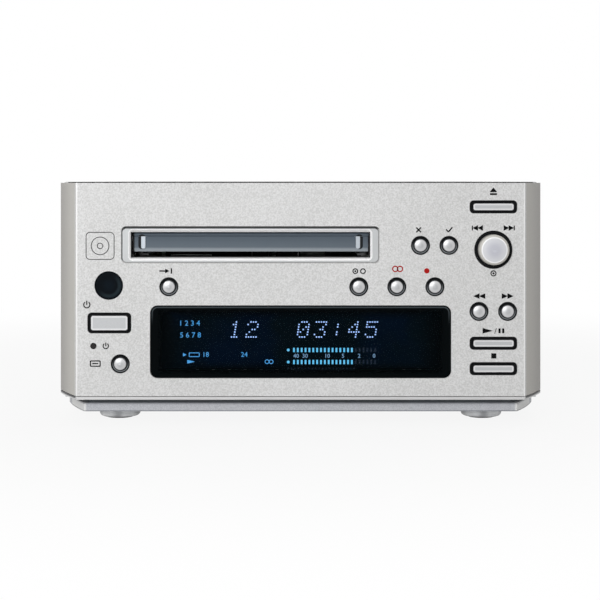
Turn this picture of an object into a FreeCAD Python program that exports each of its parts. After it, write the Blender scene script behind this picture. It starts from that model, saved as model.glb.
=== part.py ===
"""Micro component minidisc deck, as a parametric FreeCAD document.

The frame: millimetres, +X to the right seen from the front, +Y from the front to the back, +Z up.
The origin is under the middle of the deck, on the surface that its feet stand on.
"""

import FreeCAD
import Part
import Sketcher
import math
import os

V = FreeCAD.Vector
doc = FreeCAD.newDocument("minidisc_deck")

# ---------------------------------------------------------------- driving dimensions

SIZES = {
    # case
    "case_width": 155.0,
    "overall_depth": 250.0,      # from the knob's tip to the tips of the line jacks
    "panel_height": 66.7,
    "panel_thickness": 2.0,
    "crease_width": 140.2,       # flat front between the two swept wings
    "wing_depth": 15.0,
    "wing_radius": 80.0,
    "wing_wall": 2.3,            # width of the wing's rear edge, across X
    "crease_relief": 1.25,       # inner crease, this much nearer the middle than the outer one
    "frame_rise": 0.3,           # frame and cover stand this much above the panel
    "frame_wall": 2.0,
    "frame_side_wall": 1.2,
    "fit_gap": 0.1,              # clearance of pieces that are set in one another
    "foot_height": 4.1,
    "foot_radius": 6.6,
    "foot_base_radius": 5.6,
    "foot_pad_radius": 4.3,
    "foot_pad_thickness": 0.8,
    "peg_radius": 2.4,
    "foot_x": 58.8,
    "foot_front": 19.2,          # front plane to the front feet's centres
    "foot_rear": 24.0,           # rear panel to the rear feet's centres
    "plinth_height": 2.7,
    "plinth_crease_width": 136.2,
    "plinth_side_inset": 1.6,
    "plinth_setback": 3.0,
    "plinth_wing_depth": 20.0,
    "shadow_gap": 1.4,
    "lip_thickness": 0.9,
    "lip_gap": 0.2,
    "skirt_inset": 4.0,
    "cover_inset": 0.3,
    "cover_thickness": 1.0,
    "cover_bend": 1.6,
    "cover_seam": 0.4,
    "cover_lip": 9.0,
    "sheet_thickness": 1.0,
    "pan_flange": 20.0,
    "vent_width": 2.2,
    "vent_length": 26.0,
    "vent_pitch": 6.0,
    "jack_reach": 8.5,
    # fasteners
    "screw_head_radius": 2.8,
    "screw_head_height": 1.2,
    "screw_radius": 1.4,
    "screw_hole_radius": 1.5,
    "screw_length": 5.0,
    # disc slot and its door, centre given from the middle of the panel and its lower edge
    "slot_x": -15.7,
    "slot_up": 47.3,
    "slot_width": 74.5,
    "slot_height": 8.0,
    "bezel_width": 80.2,
    "bezel_height": 10.9,
    "bezel_radius": 1.3,
    "bezel_bevel": 0.8,
    "bezel_depth": 8.6,
    "tunnel_wall": 1.2,
    "door_height": 6.05,
    "door_thickness": 1.1,
    "door_setback": 2.3,
    "door_side_gap": 0.35,
    "door_pin_radius": 0.5,
    "door_pin_length": 1.0,
    "door_barrel_radius": 0.8,
    "door_rib_x": 33.7,
    "door_rib_width": 1.3,
    "door_rib_height": 4.3,
    "door_rib_proud": 0.3,
    # display
    "window_width": 94.2,
    "window_height": 22.8,
    "window_up": 17.0,
    "window_radius": 2.4,
    "window_setback": 0.3,
    "tube_width": 88.0,
    "tube_height": 18.6,
    "tube_depth": 4.6,
    "tube_setback": 4.6,
    # round and flat keys
    "key_radius": 1.95,
    "key_hole_radius": 3.0,
    "key_reach": 0.7,
    "key_dome": 0.45,
    "key_gap": 0.12,
    "key_travel": 0.6,
    "key_flange": 0.8,
    "key_flange_rim": 0.7,
    "stem_radius": 1.1,
    "collar_setback": 0.7,
    "bar_width": 12.8,
    "bar_height": 2.3,
    "bar_rim": 0.85,
    "side_rim": 1.05,
    "bar_corner": 0.5,
    "power_width": 11.6,
    "power_height": 4.7,
    "switch_size": 4.5,
    "switch_height": 2.6,
    "plunger_radius": 0.9,
    "plunger_height": 0.7,
    # jog control
    "knob_x": 60.3,
    "knob_up": 45.8,
    "knob_radius": 4.75,
    "knob_hole_radius": 6.0,
    "knob_reach": 3.0,
    "knob_edge": 0.9,
    "jog_shaft_radius": 2.0,
    "jog_travel": 0.5,
    "encoder_size": 11.0,
    "encoder_depth": 4.5,
    # sensor and standby lamp
    "sensor_x": -60.0,
    "sensor_up": 34.6,
    "sensor_radius": 4.5,
    "lamp_x": -64.8,
    "lamp_up": 15.7,
    "lamp_radius": 1.0,
    # front board
    "front_board_setback": 10.4,
    "board_thickness": 1.6,
    # disc mechanism
    "disc_depth": 54.0,          # front plane to the spindle
    "cartridge_half_width": 36.0,
    "cartridge_half_height": 2.5,
    "cartridge_drop": 0.9,       # cartridge's middle under the slot's middle
    "cartridge_play": 0.35,
    "holder_sheet": 0.8,
    "holder_front": 30.0,
    "holder_rear": 35.0,
    "holder_ledge": 1.9,
    "load_stroke": 15.0,
    "lower_stroke": 5.0,
    "pin_radius": 1.2,
    "pin_front_y": -14.0,
    "pin_rear_y": 22.0,
    "slide_play": 0.06,
    "slider_sheet": 1.6,
    "slider_offset": 38.8,
    "side_wall_offset": 41.6,
    "deck_below": 9.2,           # cartridge's middle, raised, to the deck's top
    "deck_sheet": 0.8,
    "deck_front": 34.0,
    "deck_rear": 33.0,
    "stud_radius": 1.0,
    "stud_head_radius": 1.7,
    "stud_up": 3.6,
    "gear_y": 46.0,
    "rack_below": 8.0,
    "turntable_radius": 8.5,
    "spindle_radius": 0.75,
    "spindle_motor_radius": 10.0,
    "spindle_motor_height": 7.6,
    "sled_inner": 11.0,
    "sled_width": 14.0,
    "sled_half_depth": 15.0,
    "sled_travel": 16.0,
    "lens_offset": 14.5,
    "rod_y": 12.0,
    "rod_below": 14.0,
    "rod_radius": 1.0,
    "screw_y": 18.5,
    "screw_below": 16.0,
    "lead_radius": 1.5,
    "arm_pivot": 30.5,
    "arm_above": 4.3,
    "arm_sheet": 1.0,
    "damper_height": 3.0,
    "damper_radius": 3.4,
    "ear_reach": 5.4,
    # boards and rear connectors
    "post_height": 6.0,
    "jack_pitch": 14.0,
    "jack_radius": 4.15,
    "jack_bore_radius": 3.55,
    "jack_pin_bore": 1.7,
    "jack_x": 18.0,
    "jack_up": 24.0,
    "optical_size": 9.6,
    "optical_opening": 6.4,
    "optical_x": -6.0,
    "optical_up": 31.0,
    "remote_x": 49.0,
    "remote_up": 31.0,
    "remote_bore": 1.8,
    "remote_depth": 12.0,
    "inlet_x": -50.0,
    "inlet_up": 12.0,
    "inlet_width": 20.0,
    "inlet_height": 12.0,
    "transformer_width": 48.0,
    "transformer_height": 40.0,
    "transformer_depth": 24.0,
}


def formula(item):
    """The expression of a Size, or a plain number as text."""
    return item.formula if isinstance(item, Size) else format(item, ".9g")


class Size:
    """A number that FreeCAD can bind: its expression in cells of the sheet, and its value now."""

    def __init__(self, expression, value):
        self.formula = expression
        self.value = value

    def __float__(self):
        return float(self.value)

    def __add__(self, other):
        return Size(f"({self.formula} + {formula(other)})", float(self) + float(other))

    def __radd__(self, other):
        return self + other

    def __sub__(self, other):
        return Size(f"({self.formula} - {formula(other)})", float(self) - float(other))

    def __rsub__(self, other):
        return Size(f"({formula(other)} - {self.formula})", float(other) - float(self))

    def __mul__(self, other):
        return Size(f"({self.formula} * {formula(other)})", float(self) * float(other))

    def __rmul__(self, other):
        return self * other

    def __truediv__(self, other):
        return Size(f"({self.formula} / {formula(other)})", float(self) / float(other))

    def __neg__(self):
        return Size(f"(-1 * {self.formula})", -float(self))

    def root(self):
        return Size(f"sqrt({self.formula})", math.sqrt(float(self)))


def fill_sheet():
    """Writes SIZES to the sheet, one aliased cell each, and returns them as Size objects by name."""
    sheet = doc.addObject("Spreadsheet::Sheet", "sizes")
    bound = {}
    for row, (name, value) in enumerate(SIZES.items(), start=1):
        sheet.set(f"A{row}", str(value))
        sheet.setAlias(f"A{row}", name)
        sheet.set(f"B{row}", name.replace("_", " "))
        bound[name] = Size(f"sizes.{name}", value)
    doc.recompute()
    return bound


class Sizes:
    """The driving dimensions as attributes."""


s = Sizes()
s.__dict__.update(fill_sheet())

# ---------------------------------------------------------------- levels that several pieces share

z_pan = s.foot_height + s.plinth_height
z_lip = z_pan + s.shadow_gap
z_lip_top = z_lip + s.lip_thickness
z_panel = z_lip_top + s.lip_gap
z_panel_top = z_panel + s.panel_height
z_top = z_panel_top + s.frame_rise
z_floor = z_pan + s.sheet_thickness            # top of the chassis pan's floor
z_board = z_floor + s.post_height              # underside of the boards in the pan
y_front = s.knob_reach - s.overall_depth / 2   # front plane of the panel
y_wing = y_front + s.wing_depth                # rear edges of the panel's wings
y_back = s.overall_depth / 2 - s.jack_reach    # outer face of the rear panel
y_panel_back = y_front + s.panel_thickness
y_frame_back = y_panel_back + s.frame_wall     # back of the frame's front wall
y_front_board = y_front + s.front_board_setback
half_case = s.case_width / 2
half_crease = s.crease_width / 2
half_cover = half_case - s.cover_inset
half_inside = half_cover - s.cover_thickness - s.fit_gap
slot_z = z_panel + s.slot_up
window_z = z_panel + s.window_up
disc_x = s.slot_x
disc_y = y_front + s.disc_depth
disc_z = slot_z - s.cartridge_drop
deck_top = disc_z - s.deck_below
deck_bottom = deck_top - s.deck_sheet
rod_z = disc_z - s.rod_below
lead_z = disc_z - s.screw_below

# keys: name, place right of the middle, height over the panel's lower edge
ROUND_KEYS = (
    ("input_button", -41.2, 34.2),
    ("rec_mode_button", 18.2, 34.2),
    ("dubbing_button", 30.1, 34.2),
    ("record_button", 42.0, 34.2),
    ("edit_button", 37.5, 47.15),
    ("yes_button", 46.4, 47.15),
    ("rewind_button", 55.8, 26.5),
    ("forward_button", 64.75, 26.5),
    ("display_button", -56.4, 10.1),
)
BAR_KEYS = (
    ("eject_button", 60.3, 59.2),
    ("play_button", 60.3, 16.55),
    ("stop_button", 60.3, 8.6),
)
POWER_KEY = ("power_button", -59.8, 22.9)
# posts of the frame that carry the front board: place and height over the panel's lower edge
BOSSES = ((-50.0, 4.6), (0.0, 4.6), (48.0, 4.6), (-50.0, 37.5), (8.0, 37.0), (30.0, 59.0), (48.0, 59.0))

SUBPARTS = []


def subpart(label, item):
    """Marks an object as a sub-part of the deck and gives it its name."""
    item.Label = label
    SUBPARTS.append(item)
    return item


# ---------------------------------------------------------------- ways to make a solid

AXES = {"x": V(1, 0, 0), "y": V(0, 1, 0), "z": V(0, 0, 1)}


def bind(item, prop, size):
    item.setExpression(prop, formula(size))


def place(item, x, y, z):
    for prop, size in zip("xyz", (x, y, z)):
        bind(item, f"Placement.Base.{prop}", size)
    return item


def block(name, x, y, z):
    """A box between the low and high value of each of x, y and z."""
    box = doc.addObject("Part::Box", name)
    for prop, (low, high) in zip(("Length", "Width", "Height"), (x, y, z)):
        bind(box, prop, high - low)
    return place(box, x[0], y[0], z[0])


def rod(name, axis, start, radius, length):
    """A cylinder from start along the positive axis."""
    cylinder = doc.addObject("Part::Cylinder", name)
    bind(cylinder, "Radius", radius)
    bind(cylinder, "Height", length)
    cylinder.Placement = FreeCAD.Placement(V(), FreeCAD.Rotation(AXES["z"], AXES[axis]))
    return place(cylinder, *start)


def fuse(name, *items):
    if len(items) == 1:
        return items[0]
    fused = doc.addObject("Part::MultiFuse", name)
    fused.Shapes = list(items)
    return fused


def cut(name, base, *tools):
    cutter = doc.addObject("Part::Cut", name)
    cutter.Base = base
    cutter.Tool = fuse(f"{name}_tools", *tools)
    return cutter


def tube(name, axis, start, outer, inner, length):
    return cut(
        name,
        rod(f"{name}_outside", axis, start, outer, length),
        rod(f"{name}_bore", axis, start, inner, length),
    )


def group(name, items):
    """Separate solids that share one node."""
    together = doc.addObject("Part::Compound", name)
    together.Links = list(items)
    return together


def new_body(name):
    body = doc.addObject("PartDesign::Body", name)
    body.AllowCompound = True
    return body


def new_sketch(body, plane, name):
    """A sketch on one of the body's own origin planes: XY_Plane, XZ_Plane or YZ_Plane."""
    sketch = body.newObject("Sketcher::SketchObject", name)
    origin_plane = [f for f in body.Origin.OriginFeatures if f.Role == plane][0]
    sketch.AttachmentSupport = [(origin_plane, "")]
    sketch.MapMode = "FlatFace"
    return sketch


def datum(sketch, kind, *refs, size):
    """A constraint of the sketch whose value is bound to size."""
    index = sketch.addConstraint(Sketcher.Constraint(kind, *refs, float(size)))
    sketch.setExpression(f"Constraints[{index}]", formula(size))


def pin_point(sketch, edge, end, x, y):
    datum(sketch, "DistanceX", -1, 1, edge, end, size=x)
    datum(sketch, "DistanceY", -1, 1, edge, end, size=y)


def arc_middle(start, end, radius):
    """The point halfway along the arc from start to end. It bulges to the right for a positive radius."""
    chord = end - start
    half = chord.Length / 2
    reach = abs(radius) - math.sqrt(max(radius * radius - half * half, 0.0))
    right = V(chord.y, -chord.x, 0).normalize()
    return (start + end) / 2 + right * math.copysign(reach, radius)


def outline(sketch, points):
    """A closed outline of points (x, y), or (x, y, radius) where an arc of that radius goes on to the next."""
    places = [V(float(p[0]), float(p[1]), 0) for p in points]
    ends = []
    for index, point in enumerate(points):
        start = places[index]
        finish = places[(index + 1) % len(points)]
        if len(point) == 2:
            edge = sketch.addGeometry(Part.LineSegment(start, finish), False)
            ends.append((edge, 1, 2))
        else:
            middle = arc_middle(start, finish, float(point[2]))
            edge = sketch.addGeometry(Part.Arc(start, middle, finish), False)
            forward = sketch.Geometry[edge].StartPoint.distanceToPoint(start) < 1e-6
            ends.append((edge, 1, 2) if forward else (edge, 2, 1))
    for index, point in enumerate(points):
        edge, first, last = ends[index]
        following = ends[(index + 1) % len(points)]
        sketch.addConstraint(Sketcher.Constraint("Coincident", edge, last, following[0], following[1]))
        pin_point(sketch, edge, first, point[0], point[1])
        if len(point) == 3:
            size = point[2] if float(point[2]) > 0 else -point[2]
            datum(sketch, "Radius", edge, size=size)


def rounded(x, y, width, height, radius):
    """The points of a rectangle with rounded corners about (x, y), for outline."""
    left, right = x - width / 2, x + width / 2
    low, high = y - height / 2, y + height / 2
    return [
        (left + radius, low),
        (right - radius, low, radius),
        (right, low + radius),
        (right, high - radius, radius),
        (right - radius, high),
        (left + radius, high, radius),
        (left, high - radius),
        (left, low + radius, radius),
    ]


def circle(sketch, x, y, radius):
    edge = sketch.addGeometry(Part.Circle(V(float(x), float(y), 0), AXES["z"], float(radius)), False)
    pin_point(sketch, edge, 3, x, y)
    datum(sketch, "Radius", edge, size=radius)


def pad(body, sketch, length, backwards=False):
    feature = body.newObject("PartDesign::Pad", f"{body.Name}_pad")
    feature.Profile = sketch
    feature.Reversed = backwards
    bind(feature, "Length", length)
    body.Tip = feature
    return feature


def plan(name, points, low, high):
    """A plate with an outline in the XY plane, from the height low to the height high."""
    body = new_body(name)
    sketch = new_sketch(body, "XY_Plane", f"{name}_outline")
    outline(sketch, points)
    pad(body, sketch, high - low)
    return place(body, 0, 0, low)


def facing(name, start, finish, outlines=(), circles=()):
    """A piece with outlines and circles seen from the front, from the depth start to the depth finish."""
    body = new_body(name)
    sketch = new_sketch(body, "XZ_Plane", f"{name}_outline")
    for points in outlines:
        outline(sketch, points)
    for x, z, radius in circles:
        circle(sketch, x, z, radius)
    pad(body, sketch, finish - start, backwards=True)
    return place(body, 0, start, 0)


def side_plate(name, points, low, high):
    """A plate with an outline in the YZ plane, between x low and x high."""
    body = new_body(name)
    sketch = new_sketch(body, "YZ_Plane", f"{name}_outline")
    outline(sketch, points)
    pad(body, sketch, high - low)
    return place(body, low, 0, 0)


def turned(name, axis, place_at, points):
    """A piece turned about the axis: points are (radius, distance along the axis)."""
    body = new_body(name)
    sketch = new_sketch(body, "XZ_Plane", f"{name}_outline")
    outline(sketch, points)
    turn = body.newObject("PartDesign::Revolution", f"{name}_turn")
    turn.Profile = sketch
    turn.ReferenceAxis = (sketch, ["V_Axis"])
    turn.Angle = 360.0
    body.Tip = turn
    body.Placement = FreeCAD.Placement(V(), FreeCAD.Rotation(AXES["z"], AXES[axis]))
    return place(body, *place_at)


def swept_plan(half_width, half_front, front, wing_end, rear, radius):
    """The plan of everything that follows the front: a flat front, two swept wings and straight sides."""
    return [
        (-half_front, front),
        (half_front, front, radius),
        (half_width, wing_end),
        (half_width, rear),
        (-half_width, rear),
        (-half_width, wing_end, radius),
    ]


# ---------------------------------------------------------------- front


def flat_keys():
    """Name, x, z, width and height of each flat key."""
    keys = [(name, x, z_panel + up, s.bar_width, s.bar_height) for name, x, up in BAR_KEYS]
    name, x, up = POWER_KEY
    return [*keys, (name, x, z_panel + up, s.power_width, s.power_height)]


def key_openings(side, rim, corner, grow, knob):
    """Openings for all keys: flat ones wider by side and higher by rim all round, round ones by grow."""
    boxes = [
        rounded(x, z, width + 2 * side, height + 2 * rim, corner) for _, x, z, width, height in flat_keys()
    ]
    rounds = [(x, z_panel + up, s.key_radius + grow) for _, x, up in ROUND_KEYS]
    rounds.append((s.knob_x, knob_z, knob))
    return boxes, rounds


def key_holes(clearance):
    """The panel's openings round the keys, taken in by clearance."""
    return key_openings(
        s.side_rim - clearance,
        s.bar_rim - clearance,
        s.bar_corner + s.bar_rim - clearance,
        s.key_hole_radius - s.key_radius - clearance,
        s.knob_hole_radius - clearance,
    )


def key_bores(clearance):
    """The frame's openings that the keys themselves pass through."""
    return key_openings(
        clearance, clearance, s.bar_corner + clearance, clearance, s.knob_radius + clearance
    )


knob_z = z_panel + s.knob_up
inner_crease = half_crease - s.crease_relief
inner_wing = half_case - s.wing_wall
sensor = (s.sensor_x, z_panel + s.sensor_up)
lamp = (s.lamp_x, z_panel + s.lamp_up)


def build_front_panel():
    skin = plan(
        "panel_skin",
        swept_plan(half_case, half_crease, y_front, y_wing, y_wing + s.fit_gap, s.wing_radius),
        z_panel,
        z_panel_top,
    )
    inside = plan(
        "panel_inside",
        swept_plan(inner_wing, inner_crease, y_panel_back, y_wing, y_wing + 1, s.wing_radius),
        z_panel - 1,
        z_panel_top + 1,
    )
    boxes, rounds = key_holes(0)
    boxes.append(rounded(s.slot_x, slot_z, s.bezel_width, s.bezel_height, s.bezel_radius))
    boxes.append(rounded(0, window_z, s.window_width, s.window_height, s.window_radius))
    rounds += [(*sensor, s.sensor_radius), (*lamp, s.lamp_radius)]
    openings = facing("panel_openings", y_front - 1, y_panel_back + 1, boxes, rounds)
    subpart("front_panel", cut("front_panel", skin, inside, openings))


def build_front_frame():
    """The black moulding behind the panel: a front wall with collars round the keys, a rim and a skirt."""
    front = y_panel_back
    rim = plan(
        "frame_rim",
        swept_plan(
            inner_wing - s.fit_gap,
            inner_crease - s.fit_gap / 2,
            front,
            y_wing,
            y_wing + s.fit_gap,
            s.wing_radius,
        ),
        z_lip_top,
        z_top,
    )
    hollow = plan(
        "frame_hollow",
        swept_plan(
            inner_wing - s.frame_side_wall,
            inner_crease - s.frame_side_wall,
            y_frame_back,
            y_wing,
            y_wing + 1,
            s.wing_radius,
        ),
        z_lip_top + s.frame_wall,
        z_top - s.frame_wall,
    )
    skirt = plan(
        "frame_skirt",
        swept_plan(
            half_case - s.skirt_inset,
            half_crease - s.skirt_inset,
            y_front + s.skirt_inset,
            y_wing,
            y_wing + s.fit_gap,
            s.wing_radius,
        ),
        z_pan,
        z_lip_top,
    )
    boxes, rounds = key_holes(s.fit_gap / 2)
    collars = facing("frame_collars", y_front + s.collar_setback, y_panel_back, boxes, rounds)
    boxes, rounds = key_bores(s.key_gap)
    tunnel_width = s.slot_width + 2 * (s.tunnel_wall + s.fit_gap)
    tunnel_height = s.slot_height + 2 * (s.tunnel_wall + s.fit_gap)
    boxes.append(rounded(s.slot_x, slot_z, tunnel_width, tunnel_height, s.bezel_radius))
    boxes.append(rounded(0, window_z, s.tube_width, s.tube_height, s.window_radius))
    rounds += [(*sensor, s.sensor_radius - 1), (*lamp, s.lamp_radius)]
    bores = facing("frame_bores", y_front, y_frame_back + 1, boxes, rounds)
    shell = cut("frame_shell", rim, hollow)
    boss_length = y_front_board - y_frame_back + 1
    bosses = [
        rod(f"frame_boss_{index}", "y", (x, y_frame_back - 1, z_panel + up), 1.6, boss_length)
        for index, (x, up) in enumerate(BOSSES)
    ]
    subpart("front_frame", cut("front_frame", fuse("frame_solid", shell, skirt, collars, *bosses), bores))


def build_lower_trim():
    """The thin silver strip between the panel and the recess over the plinth."""
    strip = plan(
        "trim_strip",
        swept_plan(half_case, half_crease, y_front, y_wing, y_wing + s.fit_gap, s.wing_radius),
        z_lip,
        z_lip_top,
    )
    inset = s.skirt_inset - s.fit_gap
    inside = plan(
        "trim_inside",
        swept_plan(
            half_case - inset, half_crease - inset, y_front + inset, y_wing, y_wing + 1, s.wing_radius
        ),
        z_lip - 1,
        z_lip_top + 1,
    )
    subpart("lower_trim", cut("lower_trim", strip, inside))


# ---------------------------------------------------------------- disc slot

door_y = y_front + s.door_setback + s.door_thickness / 2
door_z = slot_z + s.slot_height / 2 - s.door_barrel_radius - s.fit_gap
half_door = s.slot_width / 2 - s.door_side_gap


def build_slot_bezel():
    """The bright frame in the panel, with the tunnel that guides a disc to the mechanism."""
    plate_size = (s.bezel_width - 2 * s.fit_gap, s.bezel_height - 2 * s.fit_gap, s.bezel_radius)
    plate = facing("bezel_plate", y_front, y_panel_back, [rounded(s.slot_x, slot_z, *plate_size)])
    tunnel_size = (
        s.slot_width + 2 * s.tunnel_wall,
        s.slot_height + 2 * s.tunnel_wall,
        s.bezel_radius,
    )
    tunnel = facing(
        "bezel_tunnel", y_panel_back, y_front + s.bezel_depth, [rounded(s.slot_x, slot_z, *tunnel_size)]
    )
    mouth = facing(
        "bezel_mouth",
        y_front,
        y_front + s.bezel_depth + 1,
        [rounded(s.slot_x, slot_z, s.slot_width, s.slot_height, s.bar_corner)],
    )
    bevel = facing(
        "bezel_bevel_cut",
        y_front,
        y_front + s.bezel_bevel,
        [
            rounded(
                s.slot_x,
                slot_z,
                s.slot_width + 2 * s.bezel_bevel,
                s.slot_height + 2 * s.bezel_bevel,
                s.bar_corner + s.bezel_bevel,
            )
        ],
    )
    bevel.Tip.TaperAngle = -45.0
    reach = half_door + s.door_pin_length + s.fit_gap
    pin_bore = rod(
        "bezel_pin_bore",
        "x",
        (s.slot_x - reach, door_y, door_z),
        s.door_pin_radius + s.slide_play,
        2 * reach,
    )
    subpart("slot_bezel", cut("slot_bezel", fuse("bezel_solid", plate, tunnel), mouth, bevel, pin_bore))


def build_slot_door():
    """The flap in the slot: it hangs from two pins at its top edge and swings inwards."""
    left = s.slot_x - half_door
    right = s.slot_x + half_door
    leaf = block(
        "door_leaf",
        (left, right),
        (door_y - s.door_thickness / 2, door_y + s.door_thickness / 2),
        (door_z + s.door_barrel_radius - s.door_height, door_z),
    )
    barrel = rod("door_barrel", "x", (left, door_y, door_z), s.door_barrel_radius, right - left)
    pins = rod(
        "door_pins",
        "x",
        (left - s.door_pin_length, door_y, door_z),
        s.door_pin_radius,
        right - left + 2 * s.door_pin_length,
    )
    rib_z = door_z + s.door_barrel_radius - s.door_height / 2
    ribs = facing(
        "door_ribs",
        door_y - s.door_thickness / 2 - s.door_rib_proud,
        door_y,
        [
            rounded(
                s.slot_x + side * s.door_rib_x,
                rib_z,
                s.door_rib_width,
                s.door_rib_height,
                s.door_rib_width * 0.45,
            )
            for side in (-1, 1)
        ],
    )
    subpart("slot_door", fuse("slot_door", leaf, barrel, pins, ribs))


# ---------------------------------------------------------------- display, sensor and lamp


def build_display():
    window = facing(
        "display_window",
        y_front + s.window_setback,
        y_panel_back,
        [
            rounded(
                0,
                window_z,
                s.window_width - 2 * s.fit_gap,
                s.window_height - 2 * s.fit_gap,
                s.window_radius - s.fit_gap,
            )
        ],
    )
    subpart("display_window", window)
    half_tube = s.tube_width / 2 - s.fit_gap
    tall = s.tube_height / 2 - s.fit_gap
    tube_y = y_front + s.tube_setback
    glass = block(
        "tube_glass",
        (-half_tube, half_tube),
        (tube_y, tube_y + s.tube_depth),
        (window_z - tall, window_z + tall),
    )
    rows = [
        block(
            f"tube_leads_{side}",
            (-half_tube + 4, half_tube - 4),
            (tube_y + s.tube_depth, y_front_board),
            (window_z + side * (tall - 2) - 0.4, window_z + side * (tall - 2) + 0.4),
        )
        for side in (-1, 1)
    ]
    subpart("display_tube", fuse("display_tube", glass, *rows))


def build_sensor_and_lamp():
    shade = facing(
        "sensor_shade",
        y_front + s.window_setback,
        y_panel_back,
        circles=[(*sensor, s.sensor_radius - s.fit_gap / 2)],
    )
    eye = facing(
        "sensor_eye",
        y_panel_back,
        y_front_board,
        circles=[(*sensor, s.sensor_radius - 1 - s.fit_gap)],
    )
    subpart("sensor_window", fuse("sensor_window", shade, eye))
    light_pipe = facing(
        "lamp_pipe", y_front - 0.1, y_front_board, circles=[(*lamp, s.lamp_radius - s.fit_gap / 2)]
    )
    subpart("standby_lamp", light_pipe)


# ---------------------------------------------------------------- keys and jog control

switch_y = y_front_board - s.switch_height
plunger_y = switch_y - s.plunger_height
stem_y = plunger_y - s.key_travel - s.fit_gap


def key_back(name, x, z, face):
    """The flange that keeps a key in the frame, and the stem that presses its switch."""
    flange_y = y_frame_back
    flange = facing(f"{name}_flange", flange_y, flange_y + s.key_flange, **face)
    stem = rod(f"{name}_stem", "y", (x, flange_y, z), s.stem_radius, stem_y - flange_y)
    return flange, stem


def dome_radius(radius, height):
    """The radius of a dome with this base radius and height."""
    return (radius * radius + height * height) / (2 * height)


def build_round_key(name, x, up):
    z = z_panel + up
    face_y = y_front - s.key_reach
    length = y_frame_back - face_y
    cap = turned(
        f"{name}_cap",
        "y",
        (x, face_y, z),
        [
            (0, 0, dome_radius(s.key_radius, s.key_dome)),
            (s.key_radius, s.key_dome),
            (s.key_radius, length),
            (0, length),
        ],
    )
    rim = s.key_radius + s.key_flange_rim
    subpart(name, fuse(name, cap, *key_back(name, x, z, {"circles": [(x, z, rim)]})))


def build_flat_key(name, x, z, width, height):
    face_y = y_front - s.key_reach / 2
    cap = facing(f"{name}_cap", face_y, y_frame_back, [rounded(x, z, width, height, s.bar_corner)])
    rim = 2 * s.key_flange_rim
    flange = {"outlines": [rounded(x, z, width + rim, height + rim, s.bar_corner)]}
    subpart(name, fuse(name, cap, *key_back(name, x, z, flange)))


def build_keys():
    for name, x, up in ROUND_KEYS:
        build_round_key(name, x, up)
    for key in flat_keys():
        build_flat_key(*key)


encoder_y = y_front_board - s.encoder_depth


def build_jog():
    """The knob turns on its shaft; pushing it drives the plunger into the encoder."""
    face_y = y_front - s.knob_reach
    skirt_end = y_frame_back
    edge = s.knob_edge
    knob = turned(
        "jog_knob",
        "y",
        (s.knob_x, face_y, knob_z),
        [
            (0, 0, dome_radius(s.knob_radius - edge, edge / 3)),
            (s.knob_radius - edge, edge / 3, edge * 1.08),
            (s.knob_radius, edge * 1.4),
            (s.knob_radius, skirt_end - face_y),
            (s.jog_shaft_radius, skirt_end - face_y),
            (s.jog_shaft_radius, encoder_y - face_y - s.jog_travel - s.fit_gap),
            (0, encoder_y - face_y - s.jog_travel - s.fit_gap),
        ],
    )
    subpart("jog_knob", knob)
    half = s.encoder_size / 2
    body = block(
        "encoder_body",
        (s.knob_x - half, s.knob_x + half),
        (encoder_y, y_front_board),
        (knob_z - half, knob_z + half),
    )
    well = rod(
        "encoder_well",
        "y",
        (s.knob_x, encoder_y, knob_z),
        s.jog_shaft_radius + s.fit_gap,
        s.encoder_depth - 1,
    )
    subpart("jog_encoder", cut("jog_encoder", body, well))
    plunger = rod(
        "jog_plunger",
        "y",
        (s.knob_x, encoder_y - s.jog_travel - s.fit_gap, knob_z),
        s.jog_shaft_radius,
        s.encoder_depth - 1 - s.fit_gap,
    )
    subpart("jog_plunger", plunger)


def build_front_board():
    """The board behind the keys, cut out round the disc's way in, and the switches on it."""
    left = -(half_crease - 6)
    right = half_crease - 4
    low = z_lip_top + s.frame_wall + 1
    high = z_top - s.frame_wall - 2
    step = slot_z - s.slot_height
    clear = s.slot_x + s.slot_width / 2 + 3
    board = facing(
        "front_board",
        y_front_board,
        y_front_board + s.board_thickness,
        [[(left, low), (right, low), (right, high), (clear, high), (clear, step), (left, step)]],
    )
    subpart("front_board", board)
    half = s.switch_size / 2
    switches = []
    for name, x, up in (*ROUND_KEYS, *BAR_KEYS, POWER_KEY):
        z = z_panel + up
        case = block(
            f"{name}_switch_case", (x - half, x + half), (switch_y, y_front_board), (z - half, z + half)
        )
        plunger = rod(f"{name}_plunger", "y", (x, plunger_y, z), s.plunger_radius, s.plunger_height)
        switches.append(fuse(f"{name}_switch", case, plunger))
    subpart("key_switches", group("key_switches", switches))


# ---------------------------------------------------------------- case


def slots(name, x_start, count, y, z, step=1):
    """A row of ventilation slots along X."""
    return [
        block(
            f"{name}_{index}",
            (x_start + index * step * s.vent_pitch, x_start + index * step * s.vent_pitch + s.vent_width),
            y,
            z,
        )
        for index in range(count)
    ]


side_screw_z = z_floor + s.pan_flange * 0.55
SIDE_SCREW_SHARES = (0.22, 0.82)     # places along the cover's side
REAR_SCREW_SHARES = (-0.86, 0.0, 0.86)
rear_screw_z = z_top - s.cover_lip / 2 - 0.5


def side_screw_y(share):
    return y_wing + (y_back - y_wing) * share


def screw_bores(name, radius, sides=True, rear=True):
    """Cylinders where the case screws go."""
    bores = []
    if sides:
        for index, share in enumerate(SIDE_SCREW_SHARES):
            start = (-half_case, side_screw_y(share), side_screw_z)
            bores.append(rod(f"{name}_side_{index}", "x", start, radius, s.case_width))
    if rear:
        for index, share in enumerate(REAR_SCREW_SHARES):
            start = (half_cover * share, y_back - s.screw_length, rear_screw_z)
            bores.append(rod(f"{name}_rear_{index}", "y", start, radius, 2 * s.screw_length))
    return bores


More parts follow.
